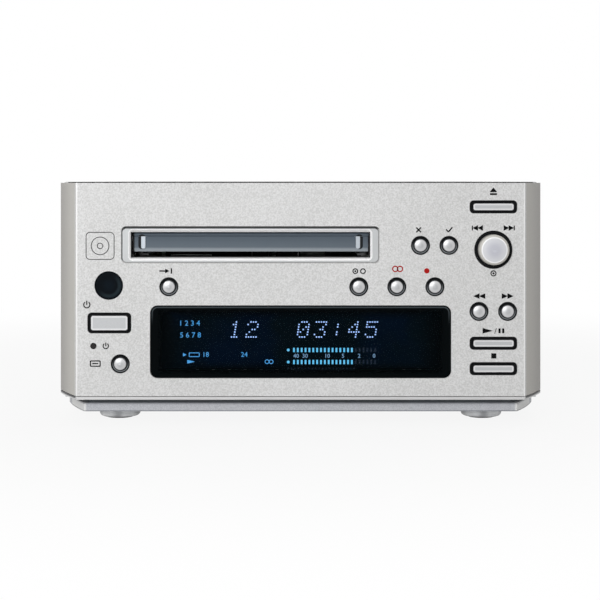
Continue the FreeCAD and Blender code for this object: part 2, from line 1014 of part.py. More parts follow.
def build_top_cover():
    """Folded sheet: top, two sides and a lip over the rear panel."""
    rear = y_back + s.cover_thickness
    wall = s.cover_thickness
    bend = s.cover_bend
    body = new_body("cover_fold")
    sketch = new_sketch(body, "XZ_Plane", "cover_section")
    outline(
        sketch,
        [
            (-half_cover, z_lip),
            (-half_cover + wall, z_lip),
            (-half_cover + wall, z_top - bend, -(bend - wall)),
            (-half_cover + bend, z_top - wall),
            (half_cover - bend, z_top - wall, -(bend - wall)),
            (half_cover - wall, z_top - bend),
            (half_cover - wall, z_lip),
            (half_cover, z_lip),
            (half_cover, z_top - bend, bend),
            (half_cover - bend, z_top),
            (-half_cover + bend, z_top, bend),
            (-half_cover, z_top - bend),
        ],
    )
    pad(body, sketch, rear - y_wing - s.cover_seam, backwards=True)
    fold = place(body, 0, y_wing + s.cover_seam, 0)
    lip = block(
        "cover_rear_lip",
        (-half_cover + wall, half_cover - wall),
        (y_back, rear),
        (z_top - s.cover_lip, z_top - wall / 2),
    )
    vent_end = y_back - 22
    vents = slots(
        "cover_vent", -half_cover * 0.78, 10, (vent_end - s.vent_length, vent_end), (z_top - 2, z_top + 1)
    )
    vents += slots(
        "cover_vent_right",
        half_cover * 0.78 - s.vent_width,
        10,
        (y_back - 22 - s.vent_length, y_back - 22),
        (z_top - 2, z_top + 1),
        step=-1,
    )
    bores = screw_bores("cover_bore", s.screw_hole_radius)
    subpart("top_cover", cut("top_cover", fuse("cover_sheet", fold, lip), *vents, *bores))


def build_base_plate():
    """The plinth: a plate under the whole deck, with the feet's bosses, screw holes and vents."""
    plate = plan(
        "plinth_plate",
        swept_plan(
            half_case - s.plinth_side_inset,
            s.plinth_crease_width / 2,
            y_front + s.plinth_setback,
            y_front + s.plinth_setback + s.plinth_wing_depth,
            y_back,
            s.wing_radius,
        ),
        s.foot_height,
        z_pan,
    )
    vent_z = (s.foot_height - 1, z_pan + 1)
    vents = slots("base_vent", -20, 8, (y_back - 60, y_back - 60 + s.vent_length), vent_z)
    vents += slots("base_vent_front", -20, 8, (y_front + 60, y_front + 60 + s.vent_length), vent_z)
    bores = [
        rod(f"base_bore_{index}", "z", (x, y, s.foot_height - 1), s.peg_radius + s.fit_gap, 9)
        for index, (x, y) in enumerate(foot_places())
    ]
    subpart("base_plate", cut("base_plate", plate, *vents, *bores))


def foot_places():
    front = y_front + s.foot_front
    rear = y_back - s.foot_rear
    return [(side * s.foot_x, y) for side in (-1, 1) for y in (front, rear)]


def build_feet():
    feet, pads = [], []
    pad_recess = s.foot_pad_thickness / 2
    for index, (x, y) in enumerate(foot_places()):
        foot = turned(
            f"foot_{index}",
            "z",
            (x, y, 0),
            [
                (0, s.foot_pad_thickness),
                (s.foot_pad_radius + s.fit_gap, s.foot_pad_thickness),
                (s.foot_pad_radius + s.fit_gap, pad_recess),
                (s.foot_base_radius, pad_recess, 3 * pad_recess),
                (s.foot_radius, pad_recess + s.foot_radius - s.foot_base_radius),
                (s.foot_radius, s.foot_height),
                (s.peg_radius, s.foot_height),
                (s.peg_radius, z_floor - s.fit_gap),
                (0, z_floor - s.fit_gap),
            ],
        )
        feet.append(foot)
        pads.append(rod(f"pad_{index}", "z", (x, y, 0), s.foot_pad_radius, s.foot_pad_thickness))
    subpart("feet", group("feet", feet))
    subpart("foot_pads", group("foot_pads", pads))


MAIN_BOARD_X = (-66.0, 57.0)
POWER_BOARD_X = (-14.0, 70.0)
main_board_y = (disc_y - 22, disc_y + 80)
power_board_y = (main_board_y[1] + 3, y_back - 22)


def board_posts(name, xs, ys):
    """Places of the four posts under a board."""
    inset = 5.0
    return [
        (x, y)
        for x in (xs[0] + inset, xs[1] - inset)
        for y in (ys[0] + inset, ys[1] - inset)
    ]


def build_chassis_pan():
    """Folded steel pan: floor, two side flanges that the cover is screwed to, and the boards' posts."""
    front = y_wing + s.fit_gap + s.cover_seam
    rear = y_back - s.sheet_thickness - s.fit_gap
    floor = block("pan_floor", (-half_inside, half_inside), (front, rear), (z_pan, z_floor))
    flanges = [
        block(
            f"pan_flange_{side}",
            (side * half_inside - (side + 1) / 2 * s.sheet_thickness,
             side * half_inside + (1 - side) / 2 * s.sheet_thickness),
            (front, rear),
            (z_pan, z_floor + s.pan_flange),
        )
        for side in (-1, 1)
    ]
    spots = board_posts("main", MAIN_BOARD_X, main_board_y)
    spots += board_posts("power", POWER_BOARD_X, power_board_y)
    posts = [
        rod(f"pan_post_{index}", "z", (x, y, z_floor - 0.5), 2.6, s.post_height + 0.5)
        for index, (x, y) in enumerate(spots)
    ]
    feet = [
        rod(f"pan_foot_bore_{index}", "z", (x, y, z_pan - 1), s.peg_radius + s.fit_gap, 4)
        for index, (x, y) in enumerate(foot_places())
    ]
    bores = screw_bores("pan_bore", s.screw_hole_radius, rear=False)
    subpart("chassis_pan", cut("chassis_pan", fuse("pan_sheet", floor, *flanges, *posts), *feet, *bores))


def case_screw(name, axis, point, outwards):
    """A pan-head screw whose head bears on the sheet at point."""
    shift = {"x": (1, 0, 0), "y": (0, 1, 0)}[axis]
    head_start = 0 if outwards > 0 else -1
    shank_start = -1 if outwards > 0 else 0
    head = rod(
        f"{name}_head",
        axis,
        [p + k * head_start * s.screw_head_height for p, k in zip(point, shift)],
        s.screw_head_radius,
        s.screw_head_height,
    )
    shank = rod(
        f"{name}_shank",
        axis,
        [p + k * shank_start * s.screw_length for p, k in zip(point, shift)],
        s.screw_radius,
        s.screw_length,
    )
    return fuse(name, head, shank)


def build_case_screws():
    screws = []
    for index, share in enumerate(SIDE_SCREW_SHARES):
        for side in (-1, 1):
            point = (side * half_cover, side_screw_y(share), side_screw_z)
            screws.append(case_screw(f"side_screw_{index}_{side + 1}", "x", point, side))
    for index, share in enumerate(REAR_SCREW_SHARES):
        point = (half_cover * share, y_back + s.cover_thickness, rear_screw_z)
        screws.append(case_screw(f"rear_screw_{index}", "y", point, 1))
    subpart("case_screws", group("case_screws", screws))


# ---------------------------------------------------------------- rear connectors

jack_z = z_panel + s.jack_up
optical_z = z_panel + s.optical_up
remote_z = z_panel + s.remote_up
inlet_z = z_panel + s.inlet_up
y_inside = y_back - s.sheet_thickness
JACKS = [(column, row) for column in (0, 1) for row in (0, 1)]


def jack_place(column, row):
    return s.jack_x + column * s.jack_pitch, jack_z + row * s.jack_pitch


def optical_places():
    return [s.optical_x - index * s.jack_pitch for index in (0, 1)]


def remote_places():
    return [s.remote_x + index * s.jack_pitch for index in (0, 1)]


def build_rear_panel():
    half = half_inside
    sheet = block("rear_sheet", (-half, half), (y_inside, y_back), (z_pan, z_top - s.cover_bend))
    circles = [(*jack_place(*spot), s.jack_bore_radius + s.fit_gap) for spot in JACKS]
    circles += [(x, remote_z, s.remote_bore + 1.7) for x in remote_places()]
    side = s.optical_size + 4 * s.fit_gap
    boxes = [rounded(x, optical_z, side, side, s.bar_corner) for x in optical_places()]
    boxes.append(
        rounded(
            s.inlet_x,
            inlet_z,
            s.inlet_width + 2 * s.fit_gap,
            s.inlet_height + 2 * s.fit_gap,
            s.bezel_radius,
        )
    )
    openings = facing("rear_openings", y_inside - 1, y_back + 1, boxes, circles)
    vents = [
        block(
            f"rear_vent_{index}",
            (-half * 0.8 + index * s.vent_pitch, -half * 0.8 + index * s.vent_pitch + s.vent_width),
            (y_inside - 1, y_back + 1),
            (z_top - s.cover_lip - 18, z_top - s.cover_lip - 5),
        )
        for index in range(9)
    ]
    bores = screw_bores("rear_bore", s.screw_hole_radius, sides=False)
    subpart("rear_panel", cut("rear_panel", sheet, openings, *vents, *bores))


def build_line_jacks():
    """Four phono jacks in one block: metal shells outside, coloured inserts inside them."""
    margin = s.jack_pitch / 2 - 0.5
    low_x, low_z = jack_place(0, 0)
    high_x, high_z = jack_place(1, 1)
    block_depth = 12.0
    housing = block(
        "jack_housing",
        (low_x - margin, high_x + margin),
        (y_inside - block_depth, y_inside),
        (low_z - margin, high_z + margin),
    )
    feet = block(
        "jack_housing_foot",
        (low_x - margin, high_x + margin),
        (y_inside - block_depth, y_inside - block_depth + 4),
        (z_floor, low_z),
    )
    shells, inserts = [], []
    reach = s.jack_reach + s.sheet_thickness
    for column, row in JACKS:
        x, z = jack_place(column, row)
        start = (x, y_inside, z)
        seat = (x, y_back, z)
        shells.append(
            tube(f"jack_shell_{column}{row}", "y", seat, s.jack_radius, s.jack_bore_radius, s.jack_reach)
        )
        inserts.append(
            tube(
                f"jack_insert_{column}{row}",
                "y",
                start,
                s.jack_bore_radius - s.slide_play / 2,
                s.jack_pin_bore,
                reach - 0.6,
            )
        )
    subpart("jack_block", fuse("jack_block", housing, feet, *inserts))
    subpart("jack_shells", group("jack_shells", shells))


def build_optical_ports():
    half = s.optical_size / 2
    hole = s.optical_opening / 2
    ports = []
    for index, x in enumerate(optical_places()):
        case = block(
            f"optical_case_{index}",
            (x - half, x + half),
            (y_inside - 10, y_back + 1.2),
            (optical_z - half, optical_z + half),
        )
        stand = block(
            f"optical_stand_{index}",
            (x - half, x + half),
            (y_inside - 10, y_inside - 5),
            (z_floor, optical_z),
        )
        mouth = block(
            f"optical_mouth_{index}",
            (x - hole, x + hole),
            (y_inside - 7, y_back + 2),
            (optical_z - hole, optical_z + hole),
        )
        ports.append(cut(f"optical_port_{index}", fuse(f"optical_solid_{index}", case, stand), mouth))
    subpart("optical_ports", group("optical_ports", ports))


def build_remote_jacks():
    jacks = []
    half = 5.0
    for index, x in enumerate(remote_places()):
        case = block(
            f"remote_case_{index}",
            (x - half, x + half),
            (y_inside - 12, y_inside),
            (remote_z - half, remote_z + half),
        )
        stand = block(
            f"remote_stand_{index}", (x - half, x + half), (y_inside - 12, y_inside - 6), (z_floor, remote_z)
        )
        nose = rod(
            f"remote_nose_{index}",
            "y",
            (x, y_inside, remote_z),
            s.remote_bore + 1.5,
            s.sheet_thickness + 1.2,
        )
        bore = rod(
            f"remote_bore_{index}",
            "y",
            (x, y_back + 1.2 - s.remote_depth, remote_z),
            s.remote_bore,
            s.remote_depth,
        )
        jacks.append(cut(f"remote_jack_{index}", fuse(f"remote_solid_{index}", case, stand, nose), bore))
    subpart("remote_jacks", group("remote_jacks", jacks))


def build_power_inlet():
    """Two-pin figure-eight inlet."""
    flange = facing(
        "inlet_flange",
        y_back,
        y_back + 1.4,
        [rounded(s.inlet_x, inlet_z, s.inlet_width + 4, s.inlet_height + 4, s.bezel_radius)],
    )
    shell = facing(
        "inlet_shell",
        y_back - 16,
        y_back,
        [rounded(s.inlet_x, inlet_z, s.inlet_width, s.inlet_height, s.bezel_radius)],
    )
    well = facing(
        "inlet_well",
        y_back - 12,
        y_back + 2,
        [rounded(s.inlet_x, inlet_z, s.inlet_width - 5, s.inlet_height - 4, s.inlet_height / 2 - 2.1)],
    )
    case = cut("inlet_case", fuse("inlet_solid", flange, shell), well)
    pins = [
        rod(f"inlet_pin_{index}", "y", (s.inlet_x + offset, y_back - 12, inlet_z), 1.2, 10)
        for index, offset in enumerate((-4.0, 4.0))
    ]
    subpart("power_inlet", group("power_inlet", [case, *pins]))


# ---------------------------------------------------------------- power supply and boards


def build_transformer():
    middle_x = s.inlet_x + 4
    middle_y = y_back - 42
    half_x = s.transformer_width / 2
    half_y = s.transformer_depth / 2
    leg = s.transformer_width / 6
    low = z_floor
    high = z_floor + s.transformer_height
    core = block(
        "core_stack",
        (middle_x - half_x, middle_x + half_x),
        (middle_y - half_y, middle_y + half_y),
        (low, high),
    )
    windows = [
        block(
            f"core_window_{side}",
            (middle_x + side * 1.5 * leg - leg / 2, middle_x + side * 1.5 * leg + leg / 2),
            (middle_y - half_y - 1, middle_y + half_y + 1),
            (low + leg, high - leg),
        )
        for side in (-1, 1)
    ]
    subpart("transformer_core", cut("transformer_core", core, *windows))
    gap = s.fit_gap
    winding = block(
        "winding",
        (middle_x - 2 * leg + gap, middle_x + 2 * leg - gap),
        (middle_y - half_y - leg, middle_y + half_y + leg),
        (low + leg + gap, high - leg - gap),
    )
    centre_leg = block(
        "winding_bore",
        (middle_x - leg - gap, middle_x + leg + gap),
        (middle_y - half_y - gap, middle_y + half_y + gap),
        (low, high),
    )
    subpart("transformer_winding", cut("transformer_winding", winding, centre_leg))


CAPACITORS = (    # share of the power board's width and depth, radius, height
    (0.16, 0.2, 8.0, 26.0),
    (0.36, 0.25, 6.3, 22.0),
    (0.56, 0.2, 5.0, 16.0),
    (0.74, 0.25, 5.0, 16.0),
    (0.9, 0.2, 4.0, 12.0),
)
MAIN_CHIPS = (    # share of the main board's width and depth, half sizes in x and y, height
    (0.3, 0.45, 10.0, 10.0, 2.0),
    (0.55, 0.4, 7.0, 7.0, 2.0),
    (0.76, 0.5, 7.0, 4.5, 2.0),
    (0.5, 0.86, 9.0, 5.0, 2.0),
    (0.2, 0.88, 6.0, 4.0, 2.0),
    (0.68, 0.78, 3.0, 5.0, 1.6),
    (0.8, 0.86, 5.5, 2.2, 3.6),
    (0.9, 0.68, 2.6, 4.0, 1.6),
)
POWER_CHIPS = (   # rectifier, two regulators and relay on the power board, in the same way
    (0.2, 0.62, 9.0, 2.6, 14.0),
    (0.44, 0.6, 5.0, 2.3, 16.0),
    (0.6, 0.6, 5.0, 2.3, 16.0),
    (0.82, 0.58, 7.0, 5.0, 11.0),
)


def board(name, xs, ys):
    sheet = block(f"{name}_sheet", xs, ys, (z_board, z_board + s.board_thickness))
    bores = [
        rod(f"{name}_bore_{index}", "z", (x, y, z_board - 1), s.screw_radius, 4)
        for index, (x, y) in enumerate(board_posts(name, xs, ys))
    ]
    subpart(name, cut(name, sheet, *bores))


def board_spot(xs, ys, share_x, share_y):
    """The place on a board at these shares of its width and depth."""
    return xs[0] + share_x * (xs[1] - xs[0]), ys[0] + share_y * (ys[1] - ys[0])


def build_boards():
    top = z_board + s.board_thickness
    board("main_board", MAIN_BOARD_X, main_board_y)
    board("power_board", POWER_BOARD_X, power_board_y)
    cans = [
        rod(
            f"capacitor_{index}",
            "z",
            (*board_spot(POWER_BOARD_X, power_board_y, *shares), top),
            radius,
            height,
        )
        for index, (*shares, radius, height) in enumerate(CAPACITORS)
    ]
    subpart("capacitors", group("capacitors", cans))
    chips = []
    for xs, ys, packages in (
        (MAIN_BOARD_X, main_board_y, MAIN_CHIPS),
        (POWER_BOARD_X, power_board_y, POWER_CHIPS),
    ):
        for *shares, half_x, half_y, height in packages:
            x, y = board_spot(xs, ys, *shares)
            across, along = (x - half_x, x + half_x), (y - half_y, y + half_y)
            chips.append(block(f"chip_{len(chips)}", across, along, (top, top + height)))
    subpart("board_chips", group("board_chips", chips))


# ---------------------------------------------------------------- disc mechanism

PINION_TEETH, PINION_MODULE = 12, 1.0
WHEEL_TEETH, MOTOR_TEETH, WHEEL_MODULE = 40, 12, 0.5
slider_x = (disc_x - s.slider_offset - s.slider_sheet, disc_x - s.slider_offset)
wall_x = (disc_x - s.side_wall_offset - s.sheet_thickness, disc_x - s.side_wall_offset)
gear_z = disc_z - s.rack_below - 6
gear_y = disc_y + s.gear_y
motor_y = gear_y + (WHEEL_TEETH + MOTOR_TEETH) * WHEEL_MODULE / 2
holder_half = s.cartridge_half_width + s.cartridge_play + s.holder_sheet
holder_up = s.cartridge_half_height + s.cartridge_play
PINS = (s.pin_front_y, s.pin_rear_y)
STUDS = (2.0, 40.0)            # guide studs, behind the spindle
RACK_ADDENDUM = 0.65
STUB_ADDENDUM = 0.7
TOOTH_THINNING = 0.9           # share of the full tooth's thickness, which leaves backlash
PRESSURE_ANGLE = math.radians(20)


def build_cartridge_holder():
    """The tray that takes the cartridge: side channels, a top plate with the head's window, and four pins."""
    y = (disc_y - s.holder_front, disc_y + s.holder_rear)
    x = (disc_x - holder_half, disc_x + holder_half)
    sheet = s.holder_sheet
    top = block("holder_top", x, y, (disc_z + holder_up, disc_z + holder_up + sheet))
    inner = holder_half - sheet
    walls = []
    for side in (-1, 1):
        low, high = sorted((side * inner, side * holder_half), key=float)
        z = (disc_z - holder_up - sheet, disc_z + holder_up + sheet)
        walls.append(block(f"holder_wall_{side}", (disc_x + low, disc_x + high), y, z))
        low, high = sorted((side * (inner - s.holder_ledge), side * holder_half), key=float)
        z = (disc_z - holder_up - sheet, disc_z - holder_up)
        walls.append(block(f"holder_ledge_{side}", (disc_x + low, disc_x + high), y, z))
    stop = block(
        "holder_stop", (disc_x - 20, disc_x + 20), (y[1] - sheet, y[1]), (disc_z - 1, disc_z + holder_up)
    )
    pins = []
    for index, offset in enumerate(PINS):
        reach = disc_x - holder_half - wall_x[0]
        pins.append(
            rod(
                f"holder_pin_left_{index}",
                "x",
                (wall_x[0], disc_y + offset, disc_z),
                s.pin_radius,
                reach + sheet / 2,
            )
        )
        pins.append(
            rod(
                f"holder_pin_right_{index}",
                "x",
                (disc_x + inner + sheet / 2, disc_y + offset, disc_z),
                s.pin_radius,
                2.6 + sheet / 2,
            )
        )
    window = block(
        "holder_window",
        (disc_x + 6, disc_x + holder_half + 1),
        (disc_y - 9, disc_y + 9),
        (disc_z - 1.9, disc_z + holder_up + 2),
    )
    relief = rod(
        "holder_relief", "z", (disc_x - 16, disc_y, disc_z + holder_up - 1), 9, 4
    )
    subpart(
        "cartridge_holder",
        cut("cartridge_holder", fuse("holder_sheet_metal", top, *walls, stop, *pins), window, relief),
    )


def slot_cutter(name, start, finish, radius, x):
    """Tools that cut a round-ended slot between two points (y, z), across the range x."""
    run = (finish[0] - start[0], finish[1] - start[1])
    length = (run[0] * run[0] + run[1] * run[1]).root()
    side = (run[1] / length * radius, run[0] / length * radius)
    middle = side_plate(
        f"{name}_middle",
        [
            (start[0] + side[0], start[1] - side[1]),
            (finish[0] + side[0], finish[1] - side[1]),
            (finish[0] - side[0], finish[1] + side[1]),
            (start[0] - side[0], start[1] + side[1]),
        ],
        x[0] - 0.5,
        x[1] + 0.5,
    )
    ends = [
        rod(f"{name}_end_{index}", "x", (x[0] - 0.5, *point), radius, x[1] - x[0] + 1)
        for index, point in enumerate((start, finish))
    ]
    return [middle, *ends]


def rack_points(middle, count, pitch_z):
    """Teeth that point down from the slider's lower edge, with a gap centred on middle."""
    pitch = math.pi * PINION_MODULE
    slope = math.tan(PRESSURE_ANGLE)
    half = pitch / 4 * TOOTH_THINNING
    root = pitch_z + 1.25 * PINION_MODULE
    tip = pitch_z - RACK_ADDENDUM * PINION_MODULE
    wide = half + 1.25 * PINION_MODULE * slope
    narrow = half - RACK_ADDENDUM * PINION_MODULE * slope
    points = []
    for index in range(count):
        y = middle - (index + 0.5) * pitch
        points += [(y + wide, root), (y + narrow, tip), (y - narrow, tip), (y - wide, root)]
    return points


def build_loading_slider():
    """The cam plate: it runs back under the motor's drive and its sloping slots lower the holder."""
    front = disc_y - s.deck_front + 1
    rear = gear_y + 8
    top = disc_z + 6
    low = disc_z - s.rack_below + 1.25 * PINION_MODULE
    belly = deck_top + 1
    belly_end = disc_y + 25
    teeth = rack_points(gear_y + math.pi * PINION_MODULE, 7, disc_z - s.rack_below)
    plate = side_plate(
        "slider_plate",
        [
            (front, belly),
            (front, top),
            (rear, top),
            (rear, low),
            *teeth,
            (belly_end, low),
            (belly_end, belly),
        ],
        *slider_x,
    )
    grooves = []
    for index, offset in enumerate(PINS):
        start = (disc_y + offset, disc_z)
        finish = (disc_y + offset - s.load_stroke, disc_z - s.lower_stroke)
        grooves += slot_cutter(f"slider_cam_{index}", start, finish, s.pin_radius + s.slide_play, slider_x)
    for index, offset in enumerate(STUDS):
        start = (disc_y + offset, disc_z + s.stud_up)
        finish = (disc_y + offset - s.load_stroke, disc_z + s.stud_up)
        grooves += slot_cutter(f"slider_guide_{index}", start, finish, s.stud_radius + s.slide_play, slider_x)
    subpart("loading_slider", cut("loading_slider", plate, *grooves))


def involute_point(base, angle, sign, turn):
    """A point of the involute of a base circle, with its start turned by turn."""
    x = base * (math.cos(angle) + angle * math.sin(angle))
    y = base * (math.sin(angle) - angle * math.cos(angle)) * sign
    return V(x * math.cos(turn) - y * math.sin(turn), x * math.sin(turn) + y * math.cos(turn), 0)


def gear_face(teeth, module, phase):
    """The face of a spur gear about the Z axis, with a tooth centred on the angle phase."""
    pitch = teeth * module / 2
    base = pitch * math.cos(PRESSURE_ANGLE)
    tip = pitch + STUB_ADDENDUM * module
    root = pitch - 1.2 * module
    spread = math.pi / (2 * teeth) * TOOTH_THINNING + math.tan(PRESSURE_ANGLE) - PRESSURE_ANGLE
    last = math.sqrt((tip / base) ** 2 - 1)
    first = math.sqrt(max((root / base) ** 2 - 1, 0.0))
    steps = [first + (last - first) * k / 3 for k in range(4)]
    corners = []
    for tooth in range(teeth):
        middle = phase + 2 * math.pi * tooth / teeth
        rising = [involute_point(base, angle, 1, middle - spread) for angle in steps]
        falling = [involute_point(base, angle, -1, middle + spread) for angle in reversed(steps)]
        if root < base:
            rising.insert(0, V(root * math.cos(middle - spread), root * math.sin(middle - spread), 0))
            falling.append(V(root * math.cos(middle + spread), root * math.sin(middle + spread), 0))
        corners += rising + falling
    return Part.Face(Part.makePolygon([*corners, corners[0]]))


def spur_gear(name, teeth, module, phase, width, bore):
    """A gear along +X from x = 0, as a shape of its own because its flanks are involutes."""
    feature = doc.addObject("Part::Feature", name)
    face = gear_face(teeth, module, phase)
    solid = face.extrude(V(0, 0, width))
    if bore:
        solid = solid.cut(Part.makeCylinder(bore, width, V(), AXES["z"]))
    feature.Shape = solid
    feature.Placement = FreeCAD.Placement(V(), FreeCAD.Rotation(AXES["y"], AXES["z"], AXES["x"], "ZXY"))
    return feature


def build_loading_drive():
    """The motor's pinion turns the double gear, whose small side drives the slider's rack."""
    half_turn = math.pi / MOTOR_TEETH
    axle = 1.0
    pinion = spur_gear(
        "drive_pinion", PINION_TEETH, PINION_MODULE, math.pi / 2, float(s.slider_sheet) + 0.2, axle + 0.05
    )
    place(pinion, slider_x[0], gear_y, gear_z)
    wheel = spur_gear("drive_wheel", WHEEL_TEETH, WHEEL_MODULE, 0.0, 2.0, axle + 0.05)
    place(wheel, slider_x[1] + 0.2, gear_y, gear_z)
    subpart("loading_gear", fuse("loading_gear", pinion, wheel))
    motor_pinion = spur_gear("motor_pinion_teeth", MOTOR_TEETH, WHEEL_MODULE, half_turn, 2.0, 0)
    place(motor_pinion, slider_x[1] + 0.2, motor_y, gear_z)
    plate_x = slider_x[1] + 2.6
    shaft = rod("motor_shaft", "x", (slider_x[1] + 2.2, motor_y, gear_z), 0.75, 3.4)
    subpart("motor_pinion", fuse("motor_pinion", motor_pinion, shaft))
    can = rod("loading_can", "x", (plate_x + 1, motor_y, gear_z), 6.0, 16.0)
    bearing = rod("loading_bearing", "x", (plate_x + 1, motor_y, gear_z), 0.8, 3.0)
    subpart("loading_motor", cut("loading_motor", can, bearing))


def build_mechanism_deck():
    """The steel deck that carries the drive, with its side wall, guide posts, rod supports and ears."""
    x = (disc_x - s.side_wall_offset - s.sheet_thickness, disc_x + 66)
    y = (disc_y - s.deck_front, disc_y + s.deck_rear)
    z = (deck_bottom, deck_top)
    plate = block("deck_plate", x, y, z)
    ears = []
    for index, (ear_x, ear_y) in enumerate(ear_places()):
        side = -1 if index < 2 else 1
        low, high = sorted((ear_x + side * 4.5, ear_x - side * 6), key=float)
        ears.append(block(f"deck_ear_{index}", (low, high), (ear_y - 4.5, ear_y + 4.5), z))
    wall = block("deck_wall", wall_x, (y[0], gear_y + 20), (rod_z - 6, disc_z + 5.6))
    plate_x = slider_x[1] + 2.6
    motor_plate = block(
        "deck_motor_plate", (plate_x, plate_x + 1), (y[1] - 1, gear_y + 20), (rod_z - 6, deck_top)
    )
    studs = []
    for index, offset in enumerate(STUDS):
        start = (wall_x[0], disc_y + offset, disc_z + s.stud_up)
        reach = slider_x[1] - wall_x[0] + s.fit_gap
        shank = rod(f"deck_stud_{index}", "x", start, s.stud_radius, reach)
        head_start = (slider_x[1] + s.fit_gap, disc_y + offset, disc_z + s.stud_up)
        head = rod(f"deck_stud_head_{index}", "x", head_start, s.stud_head_radius, 0.5)
        studs += [shank, head]
    axle = rod("deck_axle", "x", (wall_x[0], gear_y, gear_z), 1.0, plate_x + 1 - wall_x[0])
    posts = []
    post_x = (disc_x + holder_half + 0.8, disc_x + holder_half + 1.8)
    for index, offset in enumerate(PINS):
        pin_y = disc_y + offset
        posts.append(block(f"deck_post_{index}", post_x, (pin_y - 3, pin_y + 3), (deck_bottom, disc_z + 4)))
    tabs = []
    for index, tab_x in enumerate(((disc_x + 8.4, disc_x + 9.4), (disc_x + 65, disc_x + 66))):
        for side in (-1, 1):
            low, high = (-14.5, -9.5) if side < 0 else (9.5, 23.5)
            tabs.append(
                block(
                    f"deck_tab_{index}_{side + 1}",
                    tab_x,
                    (disc_y + low, disc_y + high),
                    (rod_z - 5, deck_bottom),
                )
            )
    solid = fuse("deck_solid", plate, *ears, wall, motor_plate, *studs, axle, *posts, *tabs)
    openings = [
        rod("deck_hub_hole", "z", (disc_x, disc_y, deck_bottom - 1), 5.0, 3),
        block(
            "deck_window",
            (disc_x + 10.8, disc_x + 64.6),
            (disc_y - 8, disc_y + 8),
            (deck_bottom - 1, deck_top + 1),
        ),
        rod("deck_motor_hole", "x", (plate_x - 1, motor_y, gear_z), 2.2, 3),
        rod("deck_lead_hole", "x", (disc_x + 8, disc_y + s.screw_y, lead_z), s.lead_radius + 0.1, 60),
    ]
    for index, side in enumerate((-1, 1)):
        openings.append(
            rod(f"deck_rod_hole_{index}", "x", (disc_x + 8, disc_y + side * s.rod_y, rod_z), s.rod_radius, 60)
        )
    for index, offset in enumerate(PINS):
        start = (disc_y + offset, disc_z)
        finish = (disc_y + offset, disc_z - s.lower_stroke)
        openings += slot_cutter(f"wall_slot_{index}", start, finish, s.pin_radius + s.slide_play, wall_x)
        openings += slot_cutter(f"post_slot_{index}", start, finish, s.pin_radius + s.slide_play, post_x)
    for index, (ear_x, ear_y) in enumerate(ear_places()):
        openings.append(rod(f"deck_ear_hole_{index}", "z", (ear_x, ear_y, deck_bottom - 1), 1.5, 3))
    subpart("mechanism_deck", cut("mechanism_deck", solid, *openings))


def ear_places():
    """Centres of the rubber mounts: two left, two right."""
    left = wall_x[0] - s.ear_reach
    right = disc_x + 66 + s.ear_reach
    return [(x, disc_y + offset) for x in (left, right) for offset in (-26.0, 26.0)]


def build_suspension():
    """Rubber mounts on two folded brackets that stand on the pan."""
    top = deck_bottom - s.damper_height
    dampers = []
    for index, (x, y) in enumerate(ear_places()):
        dampers.append(tube(f"damper_{index}", "z", (x, y, top), s.damper_radius, 1.5, s.damper_height))
    subpart("rubber_mounts", group("rubber_mounts", dampers))
    brackets = []
    for side, index in ((-1, 0), (1, 2)):
        ear_x = ear_places()[index][0]
        low, high = sorted((ear_x + side * 5.5, ear_x - side * 4), key=float)
        edge_low, edge_high = sorted((ear_x + side * 5.5, ear_x + side * 4.5), key=float)
        y = (disc_y - 33, disc_y + 33)
        shelf = block(f"bracket_shelf_{index}", (low, high), y, (top - 1, top))
        web = block(f"bracket_web_{index}", (edge_low, edge_high), y, (z_floor, top))
        brackets.append(fuse(f"bracket_{index}", shelf, web))
    subpart("mechanism_brackets", group("mechanism_brackets", brackets))


def build_spindle():
    motor_top = deck_bottom
    height = s.spindle_motor_height
    motor = cut(
        "spindle_motor",
        rod("spindle_can", "z", (disc_x, disc_y, motor_top - height), s.spindle_motor_radius, height),
        rod(
            "spindle_bearing",
            "z",
            (disc_x, disc_y, motor_top - height + 1),
            s.spindle_radius + s.slide_play,
            height,
        ),
    )
    subpart("spindle_motor", motor)
    shaft_low = motor_top - height + 1.2
    plate_low = deck_top + 0.4 - shaft_low
    table = turned(
        "turntable",
        "z",
        (disc_x, disc_y, shaft_low),
        [
            (0, 0),
            (s.spindle_radius, 0),
            (s.spindle_radius, plate_low),
            (s.turntable_radius, plate_low),
            (s.turntable_radius, plate_low + 1),
            (3.2, plate_low + 1),
            (2.4, plate_low + 1.8),
            (0, plate_low + 1.8),
        ],
    )
    subpart("turntable", table)


